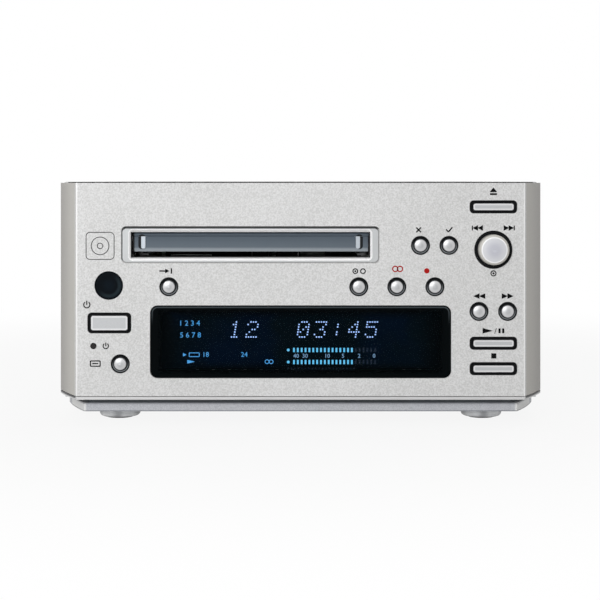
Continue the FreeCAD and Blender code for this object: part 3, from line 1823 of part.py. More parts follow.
def build_pickup():
    """The optical sled on its two rods, the lead screw that moves it, and the magnetic head's arm over it."""
    inner = disc_x + s.sled_inner
    outer = inner + s.sled_width
    body = block(
        "sled_body",
        (inner, outer),
        (disc_y - s.sled_half_depth, disc_y + s.sled_half_depth),
        (rod_z - 3, rod_z + 3),
    )
    tower = rod("sled_tower", "z", (disc_x + s.lens_offset, disc_y, rod_z), 3.0, s.rod_below - 8.9)
    nut = block(
        "sled_nut",
        (inner + 3, inner + 11),
        (disc_y + s.sled_half_depth - 1, disc_y + s.screw_y + 2.6),
        (lead_z - 2.6, lead_z + 2.6),
    )
    pivot_x = disc_x + s.lens_offset + s.arm_pivot
    arm_z = disc_z + s.arm_above
    foot = block("sled_foot", (outer - 1, pivot_x + 1.5), (disc_y - 4, disc_y + 4), (rod_z - 3, rod_z - 1))
    upright = block(
        "sled_upright", (pivot_x - 1.5, pivot_x + 1.5), (disc_y - 4, disc_y + 4), (rod_z - 3, arm_z + 2)
    )
    slot = block(
        "sled_upright_slot",
        (pivot_x - 2, pivot_x + 2),
        (disc_y - 2.6, disc_y + 2.6),
        (arm_z - 2, arm_z + 3),
    )
    bores = [
        rod(f"sled_bore_{index}", "x", (inner - 1, disc_y + side * s.rod_y, rod_z), s.rod_radius + 0.05, 20)
        for index, side in enumerate((-1, 1))
    ]
    bores.append(rod("sled_nut_bore", "x", (inner, disc_y + s.screw_y, lead_z), s.lead_radius + 0.08, 14))
    bores.append(rod("sled_pivot_bore", "y", (pivot_x, disc_y - 5, arm_z + 0.5), 0.5 + 0.05, 10))
    subpart(
        "pickup_sled",
        cut("pickup_sled", fuse("sled_solid", body, tower, nut, foot, upright), slot, *bores),
    )
    rods = [
        rod(f"guide_rod_{index}", "x", (disc_x + 8.4, disc_y + side * s.rod_y, rod_z), s.rod_radius, 57.6)
        for index, side in enumerate((-1, 1))
    ]
    subpart("guide_rods", group("guide_rods", rods))
    lead = rod("lead_screw", "x", (disc_x + 4, disc_y + s.screw_y, lead_z), s.lead_radius, 62)
    subpart("lead_screw", lead)
    can = rod("sled_can", "x", (disc_x - 8, disc_y + s.screw_y, lead_z), 5.0, 16.4)
    bearing = rod("sled_can_bore", "x", (disc_x + 3, disc_y + s.screw_y, lead_z), s.lead_radius + 0.1, 6)
    subpart("sled_motor", cut("sled_motor", can, bearing))
    head_x = disc_x + s.lens_offset
    arm = block(
        "arm_strip", (head_x - 2, pivot_x + 1), (disc_y - 2, disc_y + 2), (arm_z, arm_z + s.arm_sheet)
    )
    head = block("arm_head", (head_x - 1.6, head_x + 1.6), (disc_y - 1.8, disc_y + 1.8), (arm_z - 1.4, arm_z))
    pin = rod("arm_pin", "y", (pivot_x, disc_y - 3.8, arm_z + 0.5), 0.5, 7.6)
    subpart("head_arm", fuse("head_arm", arm, head, pin))


# ---------------------------------------------------------------- build, check and write


def build():
    build_front_panel()
    build_front_frame()
    build_lower_trim()
    build_slot_bezel()
    build_slot_door()
    build_display()
    build_sensor_and_lamp()
    build_keys()
    build_jog()
    build_front_board()
    build_top_cover()
    build_base_plate()
    build_feet()
    build_chassis_pan()
    build_case_screws()
    build_rear_panel()
    build_line_jacks()
    build_optical_ports()
    build_remote_jacks()
    build_power_inlet()
    build_transformer()
    build_boards()
    build_cartridge_holder()
    build_loading_slider()
    build_loading_drive()
    build_mechanism_deck()
    build_suspension()
    build_spindle()
    build_pickup()
    doc.recompute()


def check_and_write():
    """Stops on any failed object or sub-part, then writes one STEP file for each sub-part."""
    for item in doc.Objects:
        if "Invalid" in item.State or "Error" in item.State:
            raise RuntimeError(f"{item.Label} failed: {item.State}")
    os.makedirs("parts", exist_ok=True)
    for item in SUBPARTS:
        if item.Shape.isNull() or not item.Shape.isValid():
            raise RuntimeError(f"{item.Label} has no valid shape")
        item.Shape.exportStep(f"parts/{item.Label}.step")
    print(len(SUBPARTS), "sub-parts written")


build()
check_and_write()
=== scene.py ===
"""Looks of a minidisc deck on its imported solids: finishes, printed marks, display and screws."""

import math

import bpy
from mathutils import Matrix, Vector


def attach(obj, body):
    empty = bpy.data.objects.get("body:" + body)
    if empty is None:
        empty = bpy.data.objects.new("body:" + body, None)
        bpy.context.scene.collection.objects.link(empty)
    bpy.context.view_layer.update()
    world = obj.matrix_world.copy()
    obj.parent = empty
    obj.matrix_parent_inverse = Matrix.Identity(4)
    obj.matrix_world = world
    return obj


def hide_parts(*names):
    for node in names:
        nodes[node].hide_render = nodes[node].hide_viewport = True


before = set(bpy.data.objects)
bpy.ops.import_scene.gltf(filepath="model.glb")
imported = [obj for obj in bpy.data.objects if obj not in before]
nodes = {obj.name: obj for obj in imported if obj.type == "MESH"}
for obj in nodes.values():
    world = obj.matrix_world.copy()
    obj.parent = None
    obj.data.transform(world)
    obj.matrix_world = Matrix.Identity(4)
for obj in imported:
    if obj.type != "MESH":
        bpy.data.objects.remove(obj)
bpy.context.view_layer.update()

# places and sizes on the deck, in millimetres: x across, y towards the rear, z up
MM = 0.001
PANEL_FACE, TUBE_FACE, REAR_FACE = -122.01, -117.42, 116.51  # faces that carry printed marks
RING_FACE = -121.86
KEY_TIP, FLAT_KEY_TIP = -122.7, -122.35
FOLD_X = 70.1  # folds between panel and wings
SLOT = SLOT_X, SLOT_Z = -15.7, 56.6
SLOT_FRAME, SLOT_MOUTH = (40.1, 5.45), (37.65, 4.4)  # half sizes
WINDOW_Z = 26.3
SENSOR, LAMP, KNOB = (-60.0, 43.9), (-64.8, 25.0), (60.3, 55.1)
FOOT_X = 58.8
HUB, LENS = (-15.7, -68.0), (3.3, -68.0)  # seen from above
PINION = (-9.0, 41.7)  # seen from the side
PORT_X, CONNECTOR_Z = (-6.0, -20.0), 40.3
METER_ROWS = 23.2, 19.4
HEAD_HEIGHT = 1.2  # screw heads
BOARD_TOP = 15.4
GASKET, GASKET_WIDTH = 11.8, 1.08  # outside, and the foam's width
# height of the cans, from one x to another
CAN_TOPS = (41.3, -100.0, 8.0), (37.3, 9.0, 23.0), (31.3, 27.0, 54.0), (27.3, 57.0, 100.0)
UPRIGHT = (math.pi / 2, 0, 0)
INK_DEPTH = 0.03 * MM
ALONG_X, ALONG_Z, TURNED_Y = (30, 1, 1), (1, 1, 30), (30, 1, 30)  # stretch of a grain
KEYS = {
    "input_button": (-41.2, 43.5),
    "rec_mode_button": (18.2, 43.5),
    "dubbing_button": (30.1, 43.5),
    "record_button": (42.0, 43.5),
    "edit_button": (37.5, 56.45),
    "yes_button": (46.4, 56.45),
    "rewind_button": (55.8, 35.8),
    "forward_button": (64.75, 35.8),
    "display_button": (-56.4, 19.4),
}
FLAT_KEYS = {
    "eject_button": (60.3, 68.5),
    "play_button": (60.3, 25.85),
    "stop_button": (60.3, 17.9),
    "power_button": (-59.8, 32.2),
}
# half sizes of the wells round the flat keys
FLAT_WELLS = ((7.25, 1.88), (7.25, 1.88), (7.25, 1.88), (6.65, 3.08))


def tone(red, green, blue):
    """A colour written as 0-255 screen values, for a shader."""
    shades = [value / 255 for value in (red, green, blue)]
    linear = [v / 12.92 if v <= 0.04045 else ((v + 0.055) / 1.055) ** 2.4 for v in shades]
    return (*linear, 1.0)


# ------------------------ shader maths


class Wire:
    """A value in a node tree. Python's operators on it add its Math nodes."""

    def __init__(self, tree, socket):
        self.tree = tree
        self.socket = socket

    def math(self, operation, first, second=0.0):
        return self.tree.node("ShaderNodeMath", {"operation": operation}, {0: first, 1: second})

    def __add__(self, other):
        return self.math("ADD", self, other)

    def __radd__(self, other):
        return self.math("ADD", other, self)

    def __sub__(self, other):
        return self.math("SUBTRACT", self, other)

    def __rsub__(self, other):
        return self.math("SUBTRACT", other, self)

    def __mul__(self, other):
        return self.math("MULTIPLY", self, other)

    def __rmul__(self, other):
        return self.math("MULTIPLY", other, self)

    def __pow__(self, other):
        return self.math("POWER", self, other)

    def __mod__(self, other):
        return self.math("FLOORED_MODULO", self, other)

    def __lt__(self, other):
        return self.math("LESS_THAN", self, other)

    def __gt__(self, other):
        return self.math("GREATER_THAN", self, other)

    def __abs__(self):
        return self.math("ABSOLUTE", self)


class Tree:
    """A node tree, with one method that adds any node."""

    def __init__(self, node_tree):
        self.nodes = node_tree

    def node(self, kind, settings=None, inputs=None, output=0):
        made = self.nodes.nodes.new(kind)
        for name, value in (settings or {}).items():
            setattr(made, name, value)
        for name, value in (inputs or {}).items():
            self.feed(made.inputs[name], value)
        return Wire(self, made.outputs[output]) if len(made.outputs) else None

    def feed(self, socket, value):
        if isinstance(value, Wire):
            self.nodes.links.new(value.socket, socket)
        else:
            socket.default_value = value

    def mix(self, share, *colours):
        """Goes from one colour to another as share goes from 0 to 1; three numbers are a tone."""
        first, second = (
            tone(*colour) if isinstance(colour, tuple) and len(colour) == 3 else colour
            for colour in colours)
        inputs = {0: share, 6: first, 7: second}
        return self.node("ShaderNodeMix", {"data_type": "RGBA"}, inputs, output=2)

    def ramp(self, value, low, high, start=0.0, end=1.0):
        """Maps value from low..high to start..end, held at both ends."""
        inputs = {0: value, 1: low, 2: high, 3: start, 4: end}
        return self.node("ShaderNodeMapRange", {"interpolation_type": "SMOOTHSTEP"}, inputs)

    def place(self):
        return self.node("ShaderNodeTexCoord", output=3)

    def axes(self):
        """The place on the piece in millimetres: x, y and z."""
        place = {0: self.place()}
        parts = [self.node("ShaderNodeSeparateXYZ", None, place, output=axis) for axis in range(3)]
        return [part * (1 / MM) for part in parts]

    def scaled_place(self, size, stretch):
        """The place in units of size millimetres, times stretch along each axis."""
        scale = tuple(1 / (size * MM * factor) for factor in stretch)
        return self.node("ShaderNodeMapping", None, {"Vector": self.place(), "Scale": scale})

    def noise(self, size, detail=2.0, stretch=(1, 1, 1)):
        """Noise whose spots are about size millimetres across, times stretch along each axis."""
        inputs = {"Vector": self.scaled_place(size, stretch), "Scale": 1.0, "Detail": detail}
        return self.node("ShaderNodeTexNoise", None, inputs)

    def cells(self, size):
        """The grey of random cells about size millimetres across."""
        inputs = {"Vector": self.scaled_place(size, (1, 1, 1)), "Scale": 1.0}
        colour = self.node("ShaderNodeTexVoronoi", None, inputs, output=1)
        return self.node("ShaderNodeSeparateColor", None, {0: colour})

    def frame_distance(self, x, z, centre, half, corner):
        """Millimetres from a round-cornered frame's outline, positive outside it."""
        across = self.math_max(abs(x - centre[0]) - (half[0] - corner), 0.0)
        up = self.math_max(abs(z - centre[1]) - (half[1] - corner), 0.0)
        return self.length(across, up) - corner

    def length(self, across, up):
        return (across * across + up * up) ** 0.5

    def math_max(self, first, second):
        return self.node("ShaderNodeMath", {"operation": "MAXIMUM"}, {0: first, 1: second})

    def seen(self):
        """1 where the camera looks straight at a surface or sees it mirrored, else 0."""
        camera, glossy = (self.node("ShaderNodeLightPath", output=index) for index in (0, 3))
        return self.math_max(camera, glossy)

    def radius(self, centre, axis):
        """Millimetres from a line along an axis through the centre."""
        x, y, z = self.axes()
        pairs = {"x": (y, z), "y": (x, z), "z": (x, y)}[axis]
        return self.length(pairs[0] - centre[0], pairs[1] - centre[1])

    def rings(self, centre, axis, size):
        """Turned rings round a line: the radius in millimetres, and noise that follows it."""
        radius = self.radius(centre, axis)
        inputs = {"W": radius, "Scale": 1 / size, "Detail": 2.0}
        return radius, self.node("ShaderNodeTexNoise", {"noise_dimensions": "1D"}, inputs)


class Finish(Tree):
    """One material and its surface shader, with the sockets that stay constant."""

    def __init__(self, name, metal=0.0, gloss=0.5, others=None):
        self.material = bpy.data.materials.new(name)
        self.material.use_nodes = True
        super().__init__(self.material.node_tree)
        self.surface = self.nodes.nodes["Principled BSDF"]
        constants = {"Metallic": metal, "Specular IOR Level": gloss, **(others or {})}
        for socket, value in constants.items():
            self.surface.inputs[socket].default_value = value

    def give(self, socket, value):
        self.feed(self.surface.inputs[socket], value)

    def coat(self, colour, roughness, height=None, depth=0.0, strength=1.0):
        """Sets colour, roughness and bumps of a depth in millimetres; gives the material."""
        self.give("Base Color", colour)
        self.give("Roughness", roughness)
        if height is not None:
            inputs = {"Strength": strength, "Distance": depth * MM, "Height": height}
            self.give("Normal", self.node("ShaderNodeBump", None, inputs))
        return self.material


def grained(name, metal, gloss, grain, low, high, roughness, depth, strength=0.5, others=None):
    """A plain finish: one grain, given as noise() takes it, between two tones and roughnesses."""
    finish = Finish(name, metal, gloss, others)
    shade = finish.noise(*grain)
    smooth, spread = roughness
    colour = finish.mix(shade, low, high)
    return finish.coat(colour, smooth + shade * spread, shade, depth, strength)


# ------------------------ finishes of the front


def satin_panel():
    """Front skin: blasted and anodised aluminium, smoother along the two folds; painted highlights
    along the folds, painted shade on the wings and round the slot's frame.
    """
    finish = Finish("satin_panel", metal=0.2, gloss=0.3)
    x, _, z = finish.axes()
    grain = finish.noise(0.42, 3.0)
    cloud = finish.noise(38, 2.0)
    # painted highlight: a white line along both folds, which are also smoother
    fold = 1 - finish.ramp(abs(abs(x) - FOLD_X), 0.05, 0.4)
    shade = finish.ramp(grain, 0.32, 0.68) * 0.8 + finish.ramp(cloud, 0.3, 0.7) * 0.2
    body = finish.mix(shade, (199, 199, 198), (226, 226, 226))
    # painted shade: the wings darken towards their outer edges
    wing = finish.ramp(abs(x), 70.3, 71.2)
    wing_shade = finish.mix(finish.ramp(abs(x), 71.0, 78.0), (192, 189, 182), (146, 142, 137))
    body = finish.mix(wing * 0.8, body, wing_shade)
    body = finish.mix(fold * 0.9, body, (255, 255, 255))
    # painted shadow in the gap round the slot's frame, fullest above it and beside its right end
    seam_shadow = finish.frame_distance(x, z, SLOT, SLOT_FRAME, 1.3)
    above = finish.ramp(z, 61.0, 61.9)
    beside = finish.ramp(x, 23.9, 23.3) * finish.ramp(z, 51.4, 52.2)
    seam_shadow = finish.ramp(seam_shadow - above * 0.1, 0.38, 0.22)
    seam_shadow = seam_shadow * finish.math_max(above, beside * 0.55 + 0.4)
    body = finish.mix(seam_shadow * 0.95, body, (20, 22, 24))
    for (half_x, half_z), (centre_x, centre_z) in zip(FLAT_WELLS, FLAT_KEYS.values()):
        lip = finish.frame_distance(x, z, (centre_x, centre_z), (half_x, half_z), 1.1)
        body = finish.mix(finish.ramp(lip, 0.26, 0.1), body, (22, 24, 26))
    return finish.coat(body, 0.46 + grain * 0.1 - fold * 0.2, grain, 0.012, 0.6)


def brushed_trim():
    """Thin silver strip under the panel, brushed along it, with painted shadow on its upper edge
    under the wings.
    """
    finish = Finish("brushed_trim", metal=0.4, gloss=0.3)
    grain = finish.noise(0.12, 3.0, (60, 60, 1))
    x, _, z = finish.axes()
    # painted shadow: the upper edge under the wings is nearly black
    wing_shadow = finish.ramp(abs(x), 70.2, 70.8) * finish.ramp(z, 8.5, 8.65)
    silver = finish.mix(grain, (184, 184, 185), (220, 220, 220))
    return finish.coat(
        finish.mix(wing_shadow * 0.9, silver, (34, 35, 37)), 0.34 + grain * 0.14, grain, 0.006)


def bright_bezel():
    """Frame of the disc slot: satin plated, smoother at its inner lip, with a painted highlight
    round that lip and painted shade along its top edge and inside the slot.
    """
    finish = Finish("bright_bezel", metal=0.35, gloss=0.3)
    grain = finish.noise(0.3, 3.0)
    x, y, z = finish.axes()
    # painted highlight: a white band round the slot's mouth, which is also smoother
    lip = finish.frame_distance(x, z, SLOT, SLOT_MOUTH, 0.8)
    lip = finish.ramp(abs(lip), 0.6, 0.35)
    face = finish.mix(lip, (190, 192, 193), (255, 255, 255))
    # painted shadow along the frame's top edge
    edge = finish.frame_distance(x, z, SLOT, SLOT_FRAME, 1.3)
    edge = finish.ramp(edge, -0.45, -0.25) * finish.ramp(z, 61.0, 61.6)
    face = finish.mix(edge * 0.9, face, (24, 26, 28))
    aside, aloft = abs(x - SLOT_X), abs(z - SLOT_Z)
    # painted shade along the bottom of the slot's mouth
    sill_shade = finish.ramp(z, 52.15, 52.4) * finish.ramp(z, 53.2, 52.9)
    sill_shade = sill_shade * finish.ramp(aside, 37.5, 37.2)
    face = finish.mix(sill_shade * 0.4, face, (110, 113, 117))
    # painted shade: darker deeper into the slot
    throat_shade = finish.ramp(y, -120.4, -113.0)
    # painted shadow on the slot's two end faces
    wall_shadow = finish.ramp(aside, 36.9, 37.1) * finish.ramp(aside, 37.6, 37.4)
    wall_shadow = wall_shadow * finish.ramp(aloft, 4.2, 3.9)
    body = finish.mix(throat_shade, face, (74, 77, 82))
    return finish.coat(
        finish.mix(wall_shadow, body, (12, 14, 17)), 0.34 + grain * 0.12 - lip * 0.08, grain, 0.006, 0.6)


def brushed_flap():
    """Slot flap: slate lacquer over brushing, with its two upright ribs plated bright; painted
    shade at its top, round the ribs and at its left end, and a painted highlight along its lower
    edge.
    """
    finish = Finish("brushed_flap", gloss=0.2)
    x, y, z = finish.axes()
    brushing = finish.noise(0.16, 3.0, (50, 1, 1))
    across = x - SLOT_X
    rib = (y < -119.74) * (abs(abs(across) - 33.9) < 1.4) * (z < 59.2)
    # painted shade: darker towards the top, under the bezel
    low = finish.ramp(z, 60.2, 55.0)
    slate = finish.mix(low, (74, 84, 94), (98, 108, 117))
    slate = finish.mix(brushing * 0.5, slate, (84, 93, 102))
    # painted highlight along the lower edge
    slate = finish.mix(finish.ramp(z, 55.9, 55.1), slate, (138, 145, 151))
    # painted shadow round the two ribs
    flank_shade = finish.frame_distance(abs(across), z, (34.15, 57.5), (1.15, 2.35), 1.1)
    slate = finish.mix(finish.ramp(flank_shade, 0.12, -0.12), slate, (10, 14, 18))
    # painted shadow at the left end, beside the bezel
    slate = finish.mix(finish.ramp(across, -36.3, -36.7), slate, (6, 8, 10))
    finish.give("Metallic", 0.25 + rib * 0.3)
    return finish.coat(
        finish.mix(rib, slate, (180, 187, 194)),
        0.42 + brushing * 0.12 - rib * 0.16, brushing, 0.006, 0.7)


def black_moulding():
    """Black moulded plastic with a fine spark-eroded texture."""
    finish = Finish("black_moulding", gloss=0.08)
    grain = finish.noise(0.22, 3.0)
    z = finish.axes()[2]
    # painted light: lighter grey along the lowest edge, below the trim
    lit_skirt = finish.ramp(z, 9.4, 8.8)
    low = finish.mix(lit_skirt, (9, 10, 12), (88, 93, 96))
    high = finish.mix(lit_skirt, (24, 25, 28), (104, 109, 112))
    return finish.coat(finish.mix(grain, low, high), 0.42 + grain * 0.2, grain, 0.015, 0.6)


def smoked_window():
    """Display window: smoked acrylic with a black mask along its edge."""
    finish = Finish("smoked_window", gloss=0.02)
    x, _, z = finish.axes()
    aloft = abs(z - WINDOW_Z)
    mask = finish.math_max(finish.ramp(abs(x), 42.4, 44.9), finish.ramp(aloft, 8.9, 10.2))
    smear = finish.noise(9, 3.0)
    # painted highlight along the top of the window's inner edge
    outline = finish.frame_distance(x, z, (0.0, WINDOW_Z), (47.1, 11.4), 2.4)
    lip = finish.ramp(abs(outline + 0.65), 0.3, 0.12) * finish.ramp(z, 31.0, 37.0)
    dark = finish.mix(mask, (4, 9, 12), (5, 9, 11))
    finish.give("Alpha", 0.4 + mask * 0.6)
    return finish.coat(finish.mix(lip * 0.6, dark, (84, 92, 96)), 0.16 + smear * 0.08)


def round_sensor_window():
    """Remote sensor window: blue-black acrylic, with a painted highlight on the lower right of a
    ring inside its rim.
    """
    finish = Finish("round_sensor_window", gloss=0.05)
    radius, turned = finish.rings(SENSOR, "y", 0.5)
    x, _, z = finish.axes()
    # painted highlight: the ring is paler only on its lower right side
    ring = finish.ramp(abs(radius - 3.3), 0.9, 0.1) * finish.ramp(x - z, -106.0, -101.0)
    body = finish.mix(finish.ramp(radius, 0.5, 3.0), (10, 20, 28), (6, 12, 18))
    return finish.coat(finish.mix(ring * 0.7, body, (40, 52, 58)), 0.2 + turned * 0.06)


def display_glass():
    """Fluorescent display tube: dark glass over a fine grid, with a faint painted emission."""
    finish = Finish("display_glass", gloss=0.0, others={"Emission Strength": 1.0})
    x, _, z = finish.axes()
    grid = ((x % 0.9) < 0.12) * 0.3
    haze = finish.ramp(finish.noise(14, 2.0), 0.35, 0.75)
    aloft = abs(z - WINDOW_Z)
    border = finish.math_max(finish.ramp(abs(x), 36.0, 42.5), finish.ramp(aloft, 6.0, 9.6))
    # painted light: the glass itself gives off a faint bluish emission
    painted_glow = finish.mix(haze, (7, 21, 28), (4, 22, 44))
    finish.give("Emission Color", finish.mix(border, painted_glow, (5, 9, 11)))
    return finish.coat(finish.mix(grid, (6, 9, 14), (16, 22, 30)), 0.5 + grid * 0.3)


def clear_lamp():
    """Lens of the small round lamp, unlit."""
    finish = Finish("clear_lamp", gloss=0.3)
    radius, turned = finish.rings(LAMP, "y", 0.2)
    return finish.coat(
        finish.mix(finish.ramp(radius, 0.2, 1.0), (26, 20, 20), (10, 9, 10)), 0.18 + turned * 0.1)


def plated_cap(name, centre, flat):
    """Key cap, flat or round: satin plating on the front, black stem behind it; flat caps with a
    painted highlight on their bevel, all with painted shade at the very edge.
    """
    finish = Finish("plated_cap_" + name, gloss=0.3)
    x, y, z = finish.axes()
    grain = finish.noise(0.25, 3.0)
    if flat:
        tip, texture = FLAT_KEY_TIP, grain
        half = (5.8, 2.35) if name == "power_button" else (6.4, 1.15)
        rim = finish.frame_distance(x, z, centre, half, 0.8)
        # painted highlight on the bevel round the face, painted shade at the very edge
        worn, edge = finish.ramp(rim, -0.5, -0.78), finish.ramp(rim, -0.2, -0.06)
        bright, dull, dark = (222, 222, 223), (180, 182, 184), (24, 26, 28)
    else:
        tip = KEY_TIP
        radius, texture = finish.rings(centre, "y", 0.22)
        # darker towards the middle, painted shade at the very edge
        worn, edge = finish.ramp(radius, 1.35, 0.4) * 0.7, finish.ramp(radius, 1.72, 1.92)
        bright, dull, dark = (214, 214, 215), (164, 166, 169), (96, 98, 101)
    front = finish.ramp(y, tip + 1.9, tip + 1.6)
    silver = finish.mix(grain * 0.3 + worn * 0.7, bright, dull)
    silver = finish.mix(edge, silver, dark)
    finish.give("Metallic", front * 0.35)
    return finish.coat(
        finish.mix(front, (16, 16, 18), silver),
        0.5 - front * 0.16 + grain * 0.08, texture, 0.006, 0.6)


def turned_knob():
    """Jog knob: turned and anodised, with a smoother line round its face that carries a painted
    highlight.
    """
    finish = Finish("turned_knob", gloss=0.2)
    radius, turned = finish.rings(KNOB, "y", 0.16)
    # painted highlight: a near-white line round the face, which is also smoother
    line = finish.ramp(abs(radius - 3.86), 0.3, 0.08)
    y = finish.axes()[1]
    front = finish.ramp(y, -118.6, -119.2)
    face = finish.mix(finish.ramp(radius, 1.0, 3.6), (198, 199, 208), (220, 221, 225))
    face = finish.mix(turned * 0.3, face, (208, 209, 214))
    face = finish.mix(finish.ramp(radius, 3.9, 4.1), face, (204, 202, 196))
    face = finish.mix(line, face, (250, 250, 251))
    finish.give("Metallic", front * 0.15)
    return finish.coat(
        finish.mix(front, (16, 16, 18), face),
        0.5 + turned * 0.1 - line * 0.1, turned * finish.ramp(radius, 0.5, 1.5), 0.006, 0.5)


# ------------------------ finishes of the case


def painted_cover():
    """Folded cover: silver-grey paint with a fine wrinkle."""
    finish = Finish("painted_cover", metal=0.35, gloss=0.45)
    grain = finish.noise(0.5, 4.0)
    cloud = finish.noise(60, 2.0)
    shade = grain * 0.85 + cloud * 0.15
    return finish.coat(
        finish.mix(finish.ramp(shade, 0.3, 0.7), (168, 169, 170), (192, 192, 191)),
        0.48 + grain * 0.14, grain, 0.03, 0.6)


def plinth_paint():
    """Plinth: satin blue-grey metal, with painted shade under the recess and along its lower edge,
    and a painted highlight at its front corners.
    """
    finish = Finish("plinth_paint", metal=0.3, gloss=0.3)
    x, y, z = finish.axes()
    grain = finish.noise(0.3, 3.0)
    # painted shade: darker along the top, under the recess
    high = finish.ramp(z, 6.1, 6.7)
    # painted highlight on the front corners
    bevel = finish.ramp(abs(x), 67.2, 67.9) * finish.ramp(y, -104.0, -106.0)
    body = finish.mix(finish.ramp(grain, 0.3, 0.7), (170, 172, 177), (192, 194, 198))
    body = finish.mix(bevel * 0.8, body, (232, 232, 230))
    body = finish.mix(high * 0.6, body, (96, 100, 106))
    # painted shade along the lower edge
    low = finish.ramp(z, 4.5, 4.35) * 0.55
    return finish.coat(
        finish.mix(low, body, (84, 87, 94)), 0.44 + grain * 0.12, grain, 0.012, 0.6)


def foot_moulding():
    """Feet: turned and silver-lacquered, with painted reflections that darken the middle and the
    sides, and painted shade at the top and bottom edges.
    """
    finish = Finish("foot_moulding", metal=0.3, gloss=0.4)
    grain = finish.noise(0.2, 3.0)
    layers = finish.noise(0.5, 2.0, (40, 40, 1))
    shade = grain * 0.5 + layers * 0.5
    x, _, z = finish.axes()
    aside = abs(abs(x) - FOOT_X)
    # painted shade at the top and bottom edges
    rim_shade = finish.math_max(finish.ramp(z, 0.9, 0.5), finish.ramp(z, 3.1, 3.7))
    # painted shade on the sides
    flank_shade = finish.ramp(aside, 4.6, 6.4)
    silver = finish.mix(finish.ramp(shade, 0.3, 0.7), (222, 224, 226), (248, 249, 250))
    # painted reflection: a darker band down the middle
    silver = finish.mix(finish.ramp(aside, 2.4, 0.2) * 0.7, silver, (150, 152, 155))
    silver = finish.mix(flank_shade * 0.6, silver, (120, 122, 124))
    return finish.coat(
        finish.mix(rim_shade * 0.9, silver, (74, 76, 77)), 0.34 + grain * 0.12, shade, 0.012, 0.6)


def dark_rubber(name, low, high):
    """Rubber with a dusty bloom."""
    return grained(name, 0.0, 0.25, (1.4, 4.0), low, high, (0.74, 0.16), 0.03)


def zinc_sheet(name, low, high, spangle):
    """Zinc-plated sheet steel: spangles, rolling marks and a little haze."""
    finish = Finish(name, metal=0.75)
    crystals = finish.cells(spangle)
    rolling = finish.noise(0.4, 3.0, (1, 24, 1))
    shade = crystals * 0.35 + rolling * 0.65
    return finish.coat(
        finish.mix(shade, low, high), 0.3 + crystals * 0.12 + rolling * 0.08, rolling, 0.006, 0.5)


def rear_paint():
    """Rear sheet: matt dark-grey paint with faint bright wear round its cut edges."""
    finish = Finish("rear_paint", gloss=0.35)
    grain = finish.noise(0.35, 4.0)
    y = finish.axes()[1]
    inside = finish.ramp(y, 115.75, 115.55)
    paint = finish.mix(finish.ramp(grain, 0.3, 0.7), (58, 60, 63), (72, 74, 77))
    finish.give("Metallic", inside * 0.7)
    return finish.coat(
        finish.mix(inside, paint, (164, 166, 166)),
        0.58 + grain * 0.14 - inside * 0.2, grain, 0.02, 0.6)


# ------------------------ finishes of the rear connectors


def jack_moulding():
    """Phono jack block: black body, one row of inserts white and one red."""
    finish = Finish("jack_moulding")
    _, y, z = finish.axes()
    grain = finish.noise(0.3, 3.0)
    insert = finish.ramp(y, 116.6, 116.9)
    red = z > CONNECTOR_Z
    ring = finish.mix(red, (228, 227, 222), (176, 30, 34))
    body = finish.mix(grain, (28, 28, 30), (44, 44, 46))
    return finish.coat(finish.mix(insert, body, ring), 0.38 + grain * 0.12, grain, 0.01, 0.5)


def optical_moulding():
    """Optical ports: black glossy bodies with a paler shutter deep in each well."""
    finish = Finish("optical_moulding")
    y = finish.axes()[1]
    grain = finish.noise(0.25, 3.0)
    deep = finish.ramp(y, 110.2, 109.4)
    return finish.coat(
        finish.mix(deep * 0.5, (24, 24, 26), (60, 60, 62)), 0.3 + grain * 0.2, grain, 0.008, 0.5)


# ------------------------ finishes of the boards


def board_laminate(name, across, up):
    """Green circuit board: solder mask over copper tracks, with tinned pads in rows."""
    finish = Finish(name)
    axes = finish.axes()
    a, b = axes[across], axes[up]
    chosen = finish.cells(9.0) > 0.5
    tracks = ((a % 1.6) < 0.5) * chosen + ((b % 1.6) < 0.5) * (1 - chosen)
    pad_a, pad_b = abs((a % 5.08) - 2.54), abs((b % 2.54) - 1.27)
    pads = (finish.length(pad_a, pad_b) < 0.55) * (finish.cells(15.0) > 0.55)
    weave = finish.noise(0.3, 2.0)
    mask = finish.mix(weave * 0.4, (22, 74, 48), (34, 92, 60))
    green = finish.mix(tracks * 0.7, mask, (50, 118, 74))
    finish.give("Metallic", pads * 0.8)
    return finish.coat(
        finish.mix(pads, green, (206, 204, 196)),
        0.32 + weave * 0.12, tracks + pads * 0.5, 0.03, 0.5)


def chip_package():
    """Chips: matt moulded bodies, dusty on top."""
    finish = Finish("chip_package", gloss=0.4)
    grain = finish.noise(0.2, 3.0)
    dust = finish.noise(6.0, 3.0)
    return finish.coat(
        finish.mix(dust * 0.6 + grain * 0.4, (28, 28, 31), (48, 48, 51)),
        0.56 + grain * 0.14, grain, 0.01, 0.5)


def can_sleeve():
    """Capacitors: dark sleeve with a pale stripe and a bare can on top."""
    finish = Finish("can_sleeve")
    x, y, z = finish.axes()
    wrinkle = finish.noise(1.2, 3.0)
    bare = sum((z > rim) * (x > left) * (x < right) for rim, left, right in CAN_TOPS)
    stripe = ((y % 16.0) < 3.2) * (1 - bare)
    sleeve = finish.mix(wrinkle, (24, 30, 52), (38, 46, 74))
    marked = finish.mix(stripe * 0.8, sleeve, (186, 188, 190))
    finish.give("Metallic", bare * 0.9)
    return finish.coat(
        finish.mix(bare, marked, (196, 197, 198)), 0.32 + wrinkle * 0.12, wrinkle, 0.03, 0.5)


